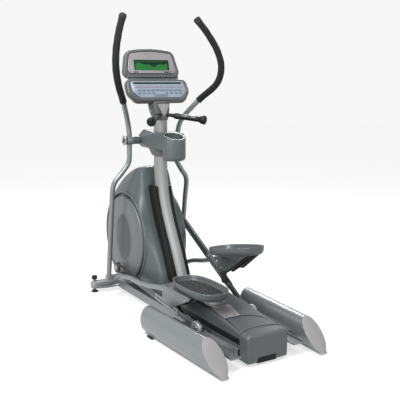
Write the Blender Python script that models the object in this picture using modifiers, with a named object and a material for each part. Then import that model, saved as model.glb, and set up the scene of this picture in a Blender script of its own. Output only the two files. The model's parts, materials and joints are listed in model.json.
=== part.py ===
"""Elliptical trainer, modelled as separate pieces on one shared frame.

Metres, +Z up. The user faces +Y and stands on the pedals, +X is the user's right, and the
floor is z = 0. Sides are built by loops: side -1 is the left, side +1 the right.
"""
import math

import bmesh
import bpy
from mathutils import Matrix, Vector

# ---- driving dimensions -------------------------------------------------------------------
GAP = 0.0003                      # between pieces that touch
SIDES = {"left": -1, "right": 1}

RAIL_X = (0.080, 0.130)           # side rail, inner and outer face
RAIL_Y = (-0.715, 0.7067)
RAIL_Z = (0.022, 0.072)
RAIL_WALL = 0.003
STABILISER_Y, STABILISER_Z = 0.735, 0.047
STABILISER_R, STABILISER_HALF = 0.028, 0.305
LEVELLER_X = 0.280

POD_X, POD_Z, POD_WALL = 0.297, 0.0885, 0.004
POD_HALF = (0.050, 0.0745)        # half axes of the pod's oval section
POD_FRONT, POD_REAR = -0.136, -0.863
POD_SPREAD = 0.0385               # the pods run outwards towards the front
POD_SLOPE = 1.0                   # depth gained per height along the slanted end
POD_STRIP, POD_CAP = 0.022, 0.004           # half width of the base strip, cap thickness
POD_FOOT_Y = -0.195
TRACK_X, TRACK_Y = (0.160, 0.218), (-0.790, -0.130)
TRACK_LOW, TRACK_TOP, TRACK_LIP = 0.0583, 0.0647, 0.076

# mast centre line: height, depth position
MAST_LINE = [(0.1903, 0.064), (0.28, 0.105), (0.37, 0.150), (0.47, 0.206), (0.565, 0.256),
             (0.67, 0.296), (0.771, 0.316), (0.893, 0.322), (1.0, 0.321), (1.135, 0.318)]
MAST_HALF_X, MAST_HALF_Y = 0.035, 0.052

ARM_PIVOT = Vector((0.165, 0.407, 1.013))
ARM_LINE = [(0.250, 0.292, 1.716), (0.291, 0.249, 1.640), (0.330, 0.204, 1.540),
            (0.344, 0.183, 1.440), (0.322, 0.203, 1.345), (0.254, 0.293, 1.250),
            (0.187, 0.384, 1.135), (0.166, 0.405, 1.050), (0.165, 0.409, 0.960),
            (0.165, 0.422, 0.880), (0.205, 0.436, 0.815), (0.253, 0.452, 0.745),
            (0.258, 0.476, 0.626), (0.258, 0.509, 0.408), (0.258, 0.550, 0.135)]
ARM_R, FOAM_R = 0.0155, 0.020
FOAM_POINTS = 6                   # the foam covers the line's first points
LINK_PIVOT = Vector((0.258, 0.550, 0.135))   # where the pedal tube hangs on the arm

TUBE_X, TUBE_R = 0.224, 0.0145    # pedal tube's own lane
ROD_X = (0.170, 0.186)            # connecting rod's lane
ROD_LENGTH = 1.020                # crank pin to roller axle
ROD_PIVOT_AT = 0.694              # pedal pivot, measured from the crank pin
ROD_PIVOT_RISE = 0.040            # pedal pivot above the rod's centre line
ROLLER_Z, ROLLER_R = 0.105, 0.040
PEDAL_PIVOT = Vector((0.0, -0.670, 0.036))   # from the link pivot, pedal level
PEDAL_PITCH = {"left": 0.0, "right": math.radians(-10.7)}

DISC_R, DISC_FACE = 0.262, 0.150
PIN_R, PIN_END = 0.013, 0.168
SHAFT_R = 0.0125
PULLEY_R, PULLEY_X = 0.130, (0.062, 0.078)
FLYWHEEL_AT = (0.335, 0.215)      # depth, height
FLYWHEEL_R, FLYWHEEL_X = 0.112, (-0.065, -0.025)
SHEAVE_R, IDLER_R, BELT_THICK, BELT_CLEAR = 0.022, 0.018, 0.003, 0.0012

KEYPAD_TILT, KEYPAD_BASE = math.radians(32), Vector((0, 0.290, 1.2505))
KEYPAD_SIZE = (0.418, 0.152, 0.055)
DISPLAY_TILT, DISPLAY_BASE = math.radians(14), Vector((0, 0.410, 1.384))
DISPLAY_SIZE = (0.390, 0.168, 0.045)
SCREEN_SIZE = (0.234, 0.062)
CUP_Y, CUP_R, CUP_BORE = 0.151, 0.068, 0.054

# ---- materials: colour, roughness, metallic -------------------------------------------------
PAINTS = {
    "silver_paint": ((0.46, 0.49, 0.49), 0.35, 0.6),
    "shroud_grey": ((0.24, 0.28, 0.28), 0.42, 0.3),
    "disc_grey": ((0.36, 0.39, 0.39), 0.4, 0.4),
    "housing_grey": ((0.17, 0.20, 0.20), 0.5, 0.1),
    "aluminium": ((0.62, 0.64, 0.64), 0.3, 0.9),
    "steel": ((0.55, 0.55, 0.54), 0.3, 1.0),
    "cast_iron": ((0.10, 0.10, 0.10), 0.6, 0.8),
    "black_plastic": ((0.02, 0.02, 0.02), 0.5, 0.0),
    "rubber": ((0.015, 0.015, 0.015), 0.8, 0.0),
    "foam": ((0.012, 0.012, 0.013), 0.9, 0.0),
    "light_cap": ((0.56, 0.55, 0.55), 0.5, 0.1),
    "screen": ((0.01, 0.16, 0.03), 0.2, 0.0),
    "overlay": ((0.55, 0.66, 0.74), 0.4, 0.0),
}


# ---- helpers --------------------------------------------------------------------------------
def clear_scene():
    for old in list(bpy.data.objects):
        bpy.data.objects.remove(old, do_unlink=True)


def new_collection(name):
    collection = bpy.data.collections.new(name)
    bpy.context.scene.collection.children.link(collection)
    return collection


def make_materials():
    made = {}
    for name, (colour, roughness, metallic) in PAINTS.items():
        material = bpy.data.materials.new(name)
        material.use_nodes = True
        shader = material.node_tree.nodes["Principled BSDF"]
        shader.inputs["Base Color"].default_value = (*colour, 1)
        shader.inputs["Roughness"].default_value = roughness
        shader.inputs["Metallic"].default_value = metallic
        made[name] = material
    return made


def from_bmesh(shape):
    """A new linked object holding the bmesh, welded and with its faces pointing out."""
    bmesh.ops.remove_doubles(shape, verts=shape.verts, dist=1e-6)
    bmesh.ops.recalc_face_normals(shape, faces=shape.faces)
    mesh = bpy.data.meshes.new("shape")
    shape.to_mesh(mesh)
    shape.free()
    made = bpy.data.objects.new("shape", mesh)
    WORKSHOP.objects.link(made)
    return made


def box(low, high):
    shape = bmesh.new()
    size = [b - a for a, b in zip(low, high)]
    middle = [(a + b) / 2 for a, b in zip(low, high)]
    matrix = Matrix.Translation(middle) @ Matrix.Diagonal((*size, 1))
    bmesh.ops.create_cube(shape, size=1, matrix=matrix)
    return from_bmesh(shape)


def cylinder(start, end, radius, segments=16):
    start, end = Vector(start), Vector(end)
    shape = bmesh.new()
    turn = (end - start).to_track_quat("Z", "Y").to_matrix().to_4x4()
    bmesh.ops.create_cone(shape, cap_ends=True, segments=segments, radius1=radius,
                          radius2=radius, depth=(end - start).length,
                          matrix=Matrix.Translation((start + end) / 2) @ turn)
    return from_bmesh(shape)


def turned(profile, start, direction, segments=24):
    """Spin a closed profile of (radius, height) points about an axis."""
    shape = bmesh.new()
    corners = [shape.verts.new((radius, 0, height)) for radius, height in profile]
    edges = [shape.edges.new((a, b)) for a, b in zip(corners, corners[1:] + corners[:1])
             if not (a.co.x < 1e-9 and b.co.x < 1e-9)]
    bmesh.ops.spin(shape, geom=corners + edges, cent=(0, 0, 0), axis=(0, 0, 1),
                   angle=math.tau, steps=segments, use_merge=True, use_duplicate=False)
    turn = Vector(direction).to_track_quat("Z", "Y").to_matrix().to_4x4()
    bmesh.ops.transform(shape, matrix=Matrix.Translation(start) @ turn, verts=shape.verts)
    return from_bmesh(shape)


def prism(outline, low, high, axis="X"):
    """Extrude a flat outline along an axis: (y, z) points along X, (x, y) points along Z."""
    shape = bmesh.new()
    rings = []
    for level in (low, high):
        points = [(level, a, b) if axis == "X" else (a, b, level) for a, b in outline]
        rings.append([shape.verts.new(point) for point in points])
    shape.faces.new(rings[0])
    shape.faces.new(list(reversed(rings[1])))
    bridge(shape, rings)
    return from_bmesh(shape)


def bridge(shape, rings):
    for ring, following in zip(rings, rings[1:]):
        for i in range(len(ring)):
            j = (i + 1) % len(ring)
            shape.faces.new((ring[i], ring[j], following[j], following[i]))


def loft(sections, capped=True):
    """Skin closed rings of points, capped at both ends unless told otherwise."""
    shape = bmesh.new()
    rings = [[shape.verts.new(point) for point in section] for section in sections]
    bridge(shape, rings)
    if capped:
        shape.faces.new(rings[0])
        shape.faces.new(list(reversed(rings[-1])))
    return from_bmesh(shape)


def smooth_path(points, steps=3):
    """Points along a Catmull-Rom curve through the given points."""
    points = [Vector(p) for p in points]
    ends = [points[0] * 2 - points[1]] + points + [points[-1] * 2 - points[-2]]
    path = []
    for a, b, c, d in zip(ends, ends[1:], ends[2:], ends[3:]):
        for k in range(steps):
            t = k / steps
            path.append(0.5 * (2 * b + (c - a) * t + (2 * a - 5 * b + 4 * c - d) * t ** 2
                               + (3 * b - a - 3 * c + d) * t ** 3))
    path.append(points[-1])
    return path


def tube(path, radius, bore=None, sides_level=2):
    """A round bar along a path, or a sleeve when it has a bore."""
    curve = bpy.data.curves.new("path", "CURVE")
    curve.dimensions = "3D"
    curve.bevel_depth = radius
    curve.bevel_resolution = sides_level
    curve.use_fill_caps = bore is None
    spline = curve.splines.new("POLY")
    spline.points.add(len(path) - 1)
    for point, place in zip(spline.points, path):
        point.co = (*place, 1)
    holder = bpy.data.objects.new("path", curve)
    WORKSHOP.objects.link(holder)
    mesh = evaluated_mesh(holder)
    bpy.data.objects.remove(holder)
    shape = bmesh.new()
    shape.from_mesh(mesh)
    made = from_bmesh(shape)
    if bore is not None:
        wall = made.modifiers.new("wall", "SOLIDIFY")
        wall.thickness = (radius - bore) * math.cos(math.pi / (2 * sides_level + 4))
        wall.offset = -1
        bake(made)
    return made


def evaluated_mesh(item):
    graph = bpy.context.evaluated_depsgraph_get()
    return bpy.data.meshes.new_from_object(item.evaluated_get(graph))


def bake(item):
    """Apply every modifier to the object's mesh."""
    mesh = evaluated_mesh(item)
    item.modifiers.clear()
    item.data = mesh


def combine(item, tools, operation):
    """Join tools to an object, or cut them from it, and remove them."""
    for tool in tools:
        step = item.modifiers.new("step", "BOOLEAN")
        step.operation = operation
        step.solver = "EXACT"
        step.object = tool
        bake(item)
        bpy.data.objects.remove(tool)
    return item


def join(item, *tools):
    return combine(item, tools, "UNION")


def cut(item, *tools):
    return combine(item, tools, "DIFFERENCE")


def soften(item, width, segments=2, angle=40):
    """Round every edge that is sharper than the angle."""
    step = item.modifiers.new("soften", "BEVEL")
    step.width = width
    step.segments = segments
    step.limit_method = "ANGLE"
    step.angle_limit = math.radians(angle)
    bake(item)
    return item


def piece(name, item, material, place=(0, 0, 0), pitch=0.0):
    """Give a finished shape its node name, material and place."""
    item.name = item.data.name = name
    WORKSHOP.objects.unlink(item)
    PARTS.objects.link(item)
    item.data.materials.clear()
    item.data.materials.append(MATERIALS[material])
    item.data.shade_smooth()
    item.data.set_sharp_from_angle(angle=math.radians(35))
    item.location = place
    item.rotation_euler = (pitch, 0, 0)
    return item


def rounded(width, height, corner, steps=4, top_width=None):
    """Outline of a rounded box, centred on x, standing on y = 0."""
    top = width if top_width is None else top_width
    outline = []
    for x, y, start in ((width / 2, 0, -90), (top / 2, height, 0),
                        (-top / 2, height, 90), (-width / 2, 0, 180)):
        centre_x = x - math.copysign(corner, x)
        centre_y = y + (corner if y == 0 else -corner)
        for k in range(steps + 1):
            angle = math.radians(start + 90 * k / steps)
            outline.append((centre_x + corner * math.cos(angle),
                            centre_y + corner * math.sin(angle)))
    return outline


def ring(centre, half_x, half_y, z, count=16, power=2.0):
    """A level ellipse or superellipse of points."""
    points = []
    for k in range(count):
        c, s = math.cos(math.tau * k / count), math.sin(math.tau * k / count)
        points.append((centre[0] + half_x * math.copysign(abs(c) ** (2 / power), c),
                       centre[1] + half_y * math.copysign(abs(s) ** (2 / power), s), z))
    return points


def arc(centre, radius, start, end, steps):
    """Points on a circle between two angles in radians."""
    return [(centre[0] + radius * math.cos(start + (end - start) * k / steps),
             centre[1] + radius * math.sin(start + (end - start) * k / steps))
            for k in range(steps + 1)]


def on_panel(item, base, tilt):
    """Stand a shape drawn in (x, y, depth) on a tilted panel that faces the user."""
    axes = Matrix(((1, 0, 0, 0),
                   (0, math.sin(tilt), -math.cos(tilt), 0),
                   (0, math.cos(tilt), math.sin(tilt), 0),
                   (0, 0, 0, 1)))
    item.data.transform(Matrix.Translation(base) @ axes)
    shape = bmesh.new()
    shape.from_mesh(item.data)
    bmesh.ops.recalc_face_normals(shape, faces=shape.faces)
    shape.to_mesh(item.data)
    shape.free()
    return item


def mast_y(z):
    """Depth of the mast's centre line at a height."""
    for (z0, y0), (z1, y1) in zip(MAST_LINE, MAST_LINE[1:]):
        if z <= z1:
            return y0 + (y1 - y0) * (z - z0) / (z1 - z0)
    return MAST_LINE[-1][1]


def turn_in_side_view(vector, angle):
    return Matrix.Rotation(angle, 3, "X") @ Vector(vector)


# ---- linkage, closed at rest ----------------------------------------------------------------
def linkage(side):
    """Pedal pivot, rod pitch, roller axle and crank pin of one side, in the side view."""
    pivot = Vector((0, *LINK_PIVOT.yz)) + turn_in_side_view(PEDAL_PIVOT, PEDAL_PITCH[side])
    behind = ROD_LENGTH - ROD_PIVOT_AT
    reach = math.hypot(behind, ROD_PIVOT_RISE)
    pitch = math.asin((pivot.z - ROLLER_Z) / reach) - math.atan2(ROD_PIVOT_RISE, behind)
    roller = pivot + turn_in_side_view((0, -behind, -ROD_PIVOT_RISE), pitch)
    pin = pivot + turn_in_side_view((0, ROD_PIVOT_AT, -ROD_PIVOT_RISE), pitch)
    return pivot, pitch, roller, pin


PIN_LEFT, PIN_RIGHT = linkage("left")[3], linkage("right")[3]
CRANK_CENTRE = (PIN_LEFT + PIN_RIGHT) / 2
CRANK_RADIUS = (PIN_RIGHT - PIN_LEFT).length / 2


# ---- base -----------------------------------------------------------------------------------
def build_base():
    frame = box((-RAIL_X[1], RAIL_Y[0], RAIL_Z[0]), (-RAIL_X[0], RAIL_Y[1], RAIL_Z[1]))
    join(frame, box((RAIL_X[0], RAIL_Y[0], RAIL_Z[0]), (RAIL_X[1], RAIL_Y[1], RAIL_Z[1])))
    for low, high in ((0.655, 0.7067), (0.50, 0.60), (0.02, 0.10), (-0.25, -0.20),
                      (-0.71, -0.66)):
        join(frame, box((-0.105, low, 0.030), (0.105, high, 0.066)))
    for low in (-0.25, -0.66):
        reach = abs(pod_middle(1, low)) - 0.0463
        for sign in SIDES.values():
            ends = sorted((sign * 0.105, sign * reach))
            join(frame, box((ends[0], low, 0.026), (ends[1], low + 0.05, 0.0580)))
    for sign in SIDES.values():
        inner = sorted((sign * (RAIL_X[0] + RAIL_WALL), sign * (RAIL_X[1] - RAIL_WALL)))
        cut(frame, box((inner[0], RAIL_Y[0] - 0.01, RAIL_Z[0] + RAIL_WALL),
                       (inner[1], RAIL_Y[1] + 0.01, RAIL_Z[1] - RAIL_WALL)))
    join(frame, loft([ring((0, 0.065), 0.075, 0.060, 0.060, 16, 4.0),
                      ring((0, 0.065), 0.070, 0.060, 0.100, 16, 4.0),
                      ring((0, 0.064), 0.046, 0.060, 0.1900, 16, 3.0)]))
    piece("base_frame", frame, "silver_paint")

    stabiliser = cylinder((-STABILISER_HALF, STABILISER_Y, STABILISER_Z),
                          (STABILISER_HALF, STABILISER_Y, STABILISER_Z), STABILISER_R)
    hollow = STABILISER_HALF - 0.006
    cut(stabiliser, cylinder((-hollow, STABILISER_Y, STABILISER_Z),
                             (hollow, STABILISER_Y, STABILISER_Z), STABILISER_R - 0.003))
    for sign in SIDES.values():
        cut(stabiliser, cylinder((sign * LEVELLER_X, STABILISER_Y, 0),
                                 (sign * LEVELLER_X, STABILISER_Y, 0.1), 0.0063, 16))
    piece("front_stabiliser", stabiliser, "silver_paint")

    for side, sign in SIDES.items():
        foot = turned([(0, 0), (0.021, 0), (0.023, 0.004), (0.019, 0.010), (0.0058, 0.014),
                       (0.0058, 0.084), (0.015, 0.084), (0.019, 0.088), (0.019, 0.104),
                       (0.015, 0.110), (0, 0.110)],
                      (0, 0, 0), (0, 0, 1), 20)
        piece(f"levelling_foot_{side}", foot, "rubber",
              (sign * LEVELLER_X, STABILISER_Y, 0))


def slanted_room(start, x):
    """Everything behind the pod's slanted rear plane, which starts at that depth on the floor."""
    return prism([(start, 0), (start + 0.2 * POD_SLOPE, 0.2), (start - 0.3, 0.2),
                  (start - 0.3, 0)], x - 0.1, x + 0.1)


def pod_middle(sign, y):
    """Sideways position of a pod's centre line."""
    return sign * (POD_X + POD_SPREAD * (y - POD_REAR))


def pod_bar(sign, rear, front, growth=0.0):
    """A length of the pod's tall oval section."""
    sections = []
    for y in (rear, front):
        x = pod_middle(sign, y)
        sections.append([(x + (POD_HALF[0] + growth) * math.cos(math.tau * k / 28), y,
                          POD_Z + (POD_HALF[1] + growth) * math.sin(math.tau * k / 28))
                         for k in range(28)])
    return loft(sections)


def pod_base(sign, rear, front, low, growth=0.0):
    """The flat strip along the bottom of a pod."""
    half = POD_STRIP + growth
    outline = [(pod_middle(sign, y) + step, y)
               for y, step in ((rear, -half), (rear, half), (front, half), (front, -half))]
    return prism(outline, low, 0.028, "Z")


def build_pods():
    behind = POD_REAR - 0.05
    for side, sign in SIDES.items():
        x = pod_middle(sign, POD_REAR)
        pod = join(pod_bar(sign, behind, POD_FRONT), pod_base(sign, behind, POD_FRONT, 0.008))
        cut(pod, pod_bar(sign, behind - 0.1, POD_FRONT - 0.010, -POD_WALL))
        cut(pod, slanted_room(POD_REAR + POD_CAP - 0.008, x))
        piece(f"pod_{side}", pod, "silver_paint")

        cap = join(pod_bar(sign, behind, -0.6, 0.001), pod_base(sign, behind, -0.6, 0.007, 0.001))
        cut(cap, slanted_room(POD_REAR - 0.008, x))
        front = POD_REAR + POD_CAP - GAP - 0.008
        cut(cap, prism([(front, 0), (front + 0.2 * POD_SLOPE, 0.2), (0, 0.2), (0, 0)],
                       x - 0.1, x + 0.1))
        piece(f"pod_end_cap_{side}", cap, "light_cap")

        x = pod_middle(sign, POD_FOOT_Y)
        pad = soften(box((x - 0.030, POD_FOOT_Y - 0.030, 0),
                         (x + 0.030, POD_FOOT_Y + 0.030, 0.008 - GAP)), 0.002, 1)
        piece(f"pod_foot_{side}", pad, "rubber")
        low, high = sorted((sign * TRACK_X[0], sign * TRACK_X[1]))
        track = box((low, TRACK_Y[0], TRACK_LOW), (high, TRACK_Y[1], TRACK_TOP))
        low, high = sorted((sign * (TRACK_X[1] - 0.0035), sign * TRACK_X[1]))
        join(track, box((low, TRACK_Y[0], TRACK_LOW), (high, TRACK_Y[1], TRACK_LIP)))
        piece(f"roller_track_{side}", track, "silver_paint")


def build_cover():
    outline = [(-0.7197, 0.0723), (-0.7197, 0.157), (-0.42, 0.196), (-0.12, 0.214),
               (-0.012, 0.206), (-0.012, 0.0723)]
    cover = soften(prism(outline, -0.118, 0.118), 0.014, 2)
    hollow = [(-0.7157, 0.05), (-0.7157, 0.152), (-0.42, 0.191), (-0.12, 0.209),
              (-0.016, 0.201), (-0.016, 0.05)]
    cut(cover, prism(hollow, -0.114, 0.114))
    cut(cover, box((-0.2, -0.9, 0.0), (0.2, 0.1, RAIL_Z[1] + GAP)))
    piece("centre_cover", cover, "housing_grey")

    cap = soften(box((-0.122, -0.792, 0.012), (0.122, -0.7203, 0.157)), 0.016, 3)
    cut(cap, box((-0.108, -0.780, 0.004), (0.108, -0.70, 0.148)))
    cut(cap, box((-0.140, -0.722, 0.0), (0.140, -0.712, 0.2)))
    piece("rear_end_cap", cap, "housing_grey")

    slope = (0.196 - 0.157) / (0.7197 - 0.42)
    plate = prism([(-0.55, 0.1794 + GAP), (-0.43, 0.1794 + 0.12 * slope + GAP),
                   (-0.43, 0.1824 + 0.12 * slope), (-0.55, 0.1824)], -0.075, 0.060)
    piece("cover_plate", plate, "aluminium")
    foot = soften(box((-0.100, -0.712, 0), (0.100, -0.672, RAIL_Z[0] - GAP)), 0.004, 1)
    piece("rear_foot", foot, "rubber")


# ---- mast, shroud and console ---------------------------------------------------------------
def mast_ring(z, growth=0.0):
    return ring((0, mast_y(z)), MAST_HALF_X + growth, MAST_HALF_Y + growth, z, 16)


def build_mast():
    heights = [z for z, y in MAST_LINE]
    mast = loft([mast_ring(z) for z in heights])
    inner = [mast_ring(z, -0.004) for z in [0.18] + heights[1:-1] + [1.15]]
    cut(mast, loft(inner))
    piece("mast", mast, "aluminium")

    levels = [z for z in heights if 0.27 < z < 0.8]
    for side, sign in SIDES.items():
        sections = []
        for z in [0.2005] + levels[:-1] + [0.75]:
            y = mast_y(z)
            corners = [(0.0358, y - 0.020), (0.060, y - 0.014), (0.060, y + 0.0556),
                       (0.0358, y + 0.0556)]
            sections.append([(sign * a, b, z) for a, b in corners])
        piece(f"mast_trim_{side}", loft(sections), "black_plastic")


def shroud_outline():
    """Side view of the shroud: rear edge along the mast, peaked top, round front."""
    front = mast_y(0.2) + 0.0605
    rear = [(mast_y(z) + 0.0605, z) for z in (0.20, 0.28, 0.37, 0.47, 0.565, 0.67, 0.77)]
    shape = [(front + 0.006, 0.085)] + rear
    shape += [(0.392, 0.822), (0.420, 0.846), (0.470, 0.842), (0.560, 0.808), (0.660, 0.755),
              (0.750, 0.685), (0.812, 0.600), (0.850, 0.500), (0.862, 0.400), (0.850, 0.300),
              (0.810, 0.200), (0.740, 0.120), (0.650, 0.085), (0.520, 0.085), (0.300, 0.085)]
    return shape


def shroud_section(x, blend, radius, sign):
    """The outline drawn towards the disc's circle: blend 0 is the outline, 1 the circle."""
    centre = CRANK_CENTRE
    points = []
    for y, z in shroud_outline():
        away = Vector((0, y - centre.y, z - centre.z))
        circle = centre + away.normalized() * radius
        place = Vector((0, y, z)).lerp(circle, blend)
        points.append((sign * x, place.y, place.z))
    return points


def build_shroud():
    for side, sign in SIDES.items():
        steps = [(GAP, 0.0, 0.285), (0.056, 0.0, 0.285), (0.090, 0.12, 0.290),
                 (0.114, 0.38, 0.290), (0.129, 0.76, 0.292), (0.134, 1.0, 0.292),
                 (0.134, 1.0, 0.281), (0.120, 1.0, 0.278), (0.120, 1.0, 0.034)]
        shell = loft([shroud_section(x, blend, radius, sign) for x, blend, radius in steps],
                     capped=False)
        face_out(shell, sign)
        wall = shell.modifiers.new("wall", "SOLIDIFY")
        wall.thickness = 0.0025
        wall.offset = -1
        bake(shell)
        cut(shell, box((-0.2, -0.1, 0.0), (0.2, 1.0, 0.094)))
        piece(f"shroud_{side}", shell, "shroud_grey")


def face_out(item, sign):
    """Turn an open side shell's faces outwards, judged by its widest flat ring."""
    widest = max(item.data.polygons, key=lambda face: sign * face.center.x)
    if widest.normal.x * sign < 0:
        item.data.flip_normals()


def build_console():
    width, height, depth = KEYPAD_SIZE
    outline = rounded(width - 0.045, height, 0.045, 4, width)
    keypad = soften(prism(outline, -depth, 0, "Z"), 0.010, 2)
    piece("keypad_housing", on_panel(keypad, KEYPAD_BASE, KEYPAD_TILT), "housing_grey")
    overlay = prism([(x, y + 0.022) for x, y in rounded(0.326, 0.112, 0.030, 3, 0.358)],
                    GAP, 0.003, "Z")
    piece("keypad_overlay", on_panel(overlay, KEYPAD_BASE, KEYPAD_TILT), "overlay")

    width, height, depth = DISPLAY_SIZE
    outline = rounded(width, height, 0.035, 4, 0.320)
    display = soften(prism(outline, -depth, 0, "Z"), 0.010, 2)
    piece("display_housing", on_panel(display, DISPLAY_BASE, DISPLAY_TILT), "housing_grey")
    plate = prism([(x, y + 0.024) for x, y in rounded(0.332, 0.124, 0.026, 3, 0.284)],
                  GAP, 0.0035, "Z")
    half, low, high = SCREEN_SIZE[0] / 2, 0.044, 0.044 + SCREEN_SIZE[1]
    cut(plate, prism([(-half - GAP, low - GAP), (half + GAP, low - GAP),
                      (half + GAP, high + GAP), (-half - GAP, high + GAP)], -0.01, 0.01, "Z"))
    piece("display_faceplate", on_panel(plate, DISPLAY_BASE, DISPLAY_TILT), "aluminium")
    screen = prism([(-half, low), (half, low), (half, high), (-half, high)], GAP, 0.003, "Z")
    piece("display_screen", on_panel(screen, DISPLAY_BASE, DISPLAY_TILT), "screen")

    def behind(base, tilt, up, back):
        spot = base + Vector((0, math.sin(tilt), math.cos(tilt))) * up
        spot += Vector((0, math.cos(tilt), -math.sin(tilt))) * back
        return (spot.y, spot.z)

    key, show = (KEYPAD_BASE, KEYPAD_TILT), (DISPLAY_BASE, DISPLAY_TILT)
    spine = [behind(*key, 0.030, 0.0565), behind(*key, 0.150, 0.0565),
             behind(*show, -0.001, 0.045 + GAP), behind(*show, 0.110, 0.045 + GAP),
             behind(*show, 0.100, 0.070), behind(*show, 0.000, 0.075),
             behind(*key, 0.060, 0.100)]

    neck = loft([ring((0, 0.320), 0.037, 0.052, 1.1353, 16, 2.4),
                 ring((0, 0.332), 0.047, 0.052, 1.185, 16, 3.0),
                 ring((0, 0.352), 0.066, 0.052, 1.300, 16, 4.0)])
    clearance = prism([(-0.3, -0.001), (0.3, -0.001), (0.3, 0.3), (-0.3, 0.3)],
                      -0.055 - GAP, 0.3, "Z")
    cut(neck, on_panel(clearance, KEYPAD_BASE, KEYPAD_TILT))
    join(neck, prism(spine, -0.105, 0.105))
    piece("console_neck", neck, "housing_grey")


def build_pulse_grips():
    bend = [(-0.158, 0.118, 1.142), (-0.060, 0.240, 1.160), (-0.030, 0.2565, 1.165),
            (0.030, 0.2565, 1.165), (0.060, 0.240, 1.160), (0.158, 0.118, 1.142)]
    path = smooth_path(bend, 3)
    piece("pulse_grip_bar", tube(path, 0.011), "black_plastic")
    for side, sign in SIDES.items():
        end, start = Vector(bend[-1]), Vector(bend[-2])
        run = (end - start).normalized()
        run.x, end.x, start.x = run.x * sign, end.x * sign, start.x * sign
        sleeve = cylinder(start + run * 0.014, end + run * 0.001, 0.0155, 20)
        cut(sleeve, cylinder(start, end + run * GAP, 0.0120, 20))
        join(sleeve, turned([(0, 0), (0.0155, 0), (0.025, 0.014), (0.027, 0.024),
                             (0.022, 0.034), (0, 0.036)], end + run * GAP, run, 16))
        piece(f"pulse_grip_{side}", sleeve, "black_plastic")


def build_cup_holder():
    y, z = ARM_PIVOT.y, ARM_PIVOT.z
    plan = [(0.096, y - 0.026), (0.096, y + 0.026), (0.070, y + 0.034), (-0.070, y + 0.034),
            (-0.096, y + 0.026), (-0.096, y - 0.026), (-0.070, 0.290), (-0.066, CUP_Y),
            (0.066, CUP_Y), (0.070, 0.290)]
    body = prism(plan, z - 0.045, z + 0.060, "Z")
    join(body, cylinder((0, CUP_Y, 0.905), (0, CUP_Y, z + 0.060), CUP_R, 32))
    join(body, loft([ring((0, 0.318), 0.050, 0.068, 0.925, 16), mast_collar(0.975)]))
    lean = math.radians(16)
    lid = box((-0.2, -0.4, 0), (0.2, 0.4, 0.3))
    lid.data.transform(Matrix.Translation((0, CUP_Y, 1.050)) @ Matrix.Rotation(lean, 4, "X"))
    cut(body, lid)
    for sign in SIDES.values():
        slot = sorted((sign * 0.071, sign * 0.2))
        cut(body, box((slot[0], 0.2, z + 0.027), (slot[1], 0.6, 1.2)))
        cut(body, box((slot[0], 0.2, 0.9), (slot[1], 0.6, z - 0.027)))
    cut(body, cylinder((0, CUP_Y, 0.925), (0, CUP_Y, 1.2), CUP_BORE, 32))
    cut(body, loft([mast_ring(h, GAP) for h in (0.893, 1.0, 1.134)]))
    cut(body, cylinder((-0.2, y, z), (0.2, y, z), 0.0123, 20))
    piece("cup_holder", body, "shroud_grey")
    axle = cylinder((-0.1965, y, z), (0.1965, y, z), 0.012, 20)
    for sign in SIDES.values():
        join(axle, turned([(0, 0), (0.026, 0), (0.030, 0.003), (0.028, 0.008), (0, 0.009)],
                          (sign * 0.1962, y, z), (sign, 0, 0), 16))
    piece("arm_axle", axle, "steel")


def mast_collar(z):
    return ring((0, 0.330), 0.066, 0.085, z, 16, 3.0)


# ---- moving linkage -------------------------------------------------------------------------
def build_arm(side, sign):
    def local(point):
        away = Vector(point) - ARM_PIVOT
        return Vector((sign * away.x, away.y, away.z))

    place = Vector((sign * ARM_PIVOT.x, ARM_PIVOT.y, ARM_PIVOT.z))
    line = [local(p) for p in ARM_LINE]
    path = smooth_path(line, 2)
    arm = tube(path, ARM_R)
    inner, outer = sign * (0.0975 - ARM_PIVOT.x), sign * (0.1945 - ARM_PIVOT.x)
    join(arm, cylinder((inner, 0, 0), (outer, 0, 0), 0.026, 16))
    cut(arm, cylinder((-0.1, 0, 0), (0.1, 0, 0), 0.0125, 20))
    eye = local(LINK_PIVOT)
    join(arm, cylinder(eye - Vector((0.0155, 0, 0)), eye + Vector((0.0155, 0, 0)), 0.022, 16))
    cut(arm, cylinder(eye - Vector((0.05, 0, 0)), eye + Vector((0.05, 0, 0)), 0.0085, 16))
    piece(f"swing_arm_{side}", arm, "silver_paint", place)

    foam_path = path[:(FOAM_POINTS - 1) * 2 + 1]
    foam = tube(foam_path, FOAM_R, bore=ARM_R + GAP)
    up = (line[0] - line[1]).normalized()
    join(foam, turned([(0, 0), (0.0195, 0), (0.0225, 0.006), (0.0225, 0.018),
                       (0.017, 0.024), (0, 0.025)], line[0] + up * GAP, up, 16))
    piece(f"foam_grip_{side}", foam, "foam", place)


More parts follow.
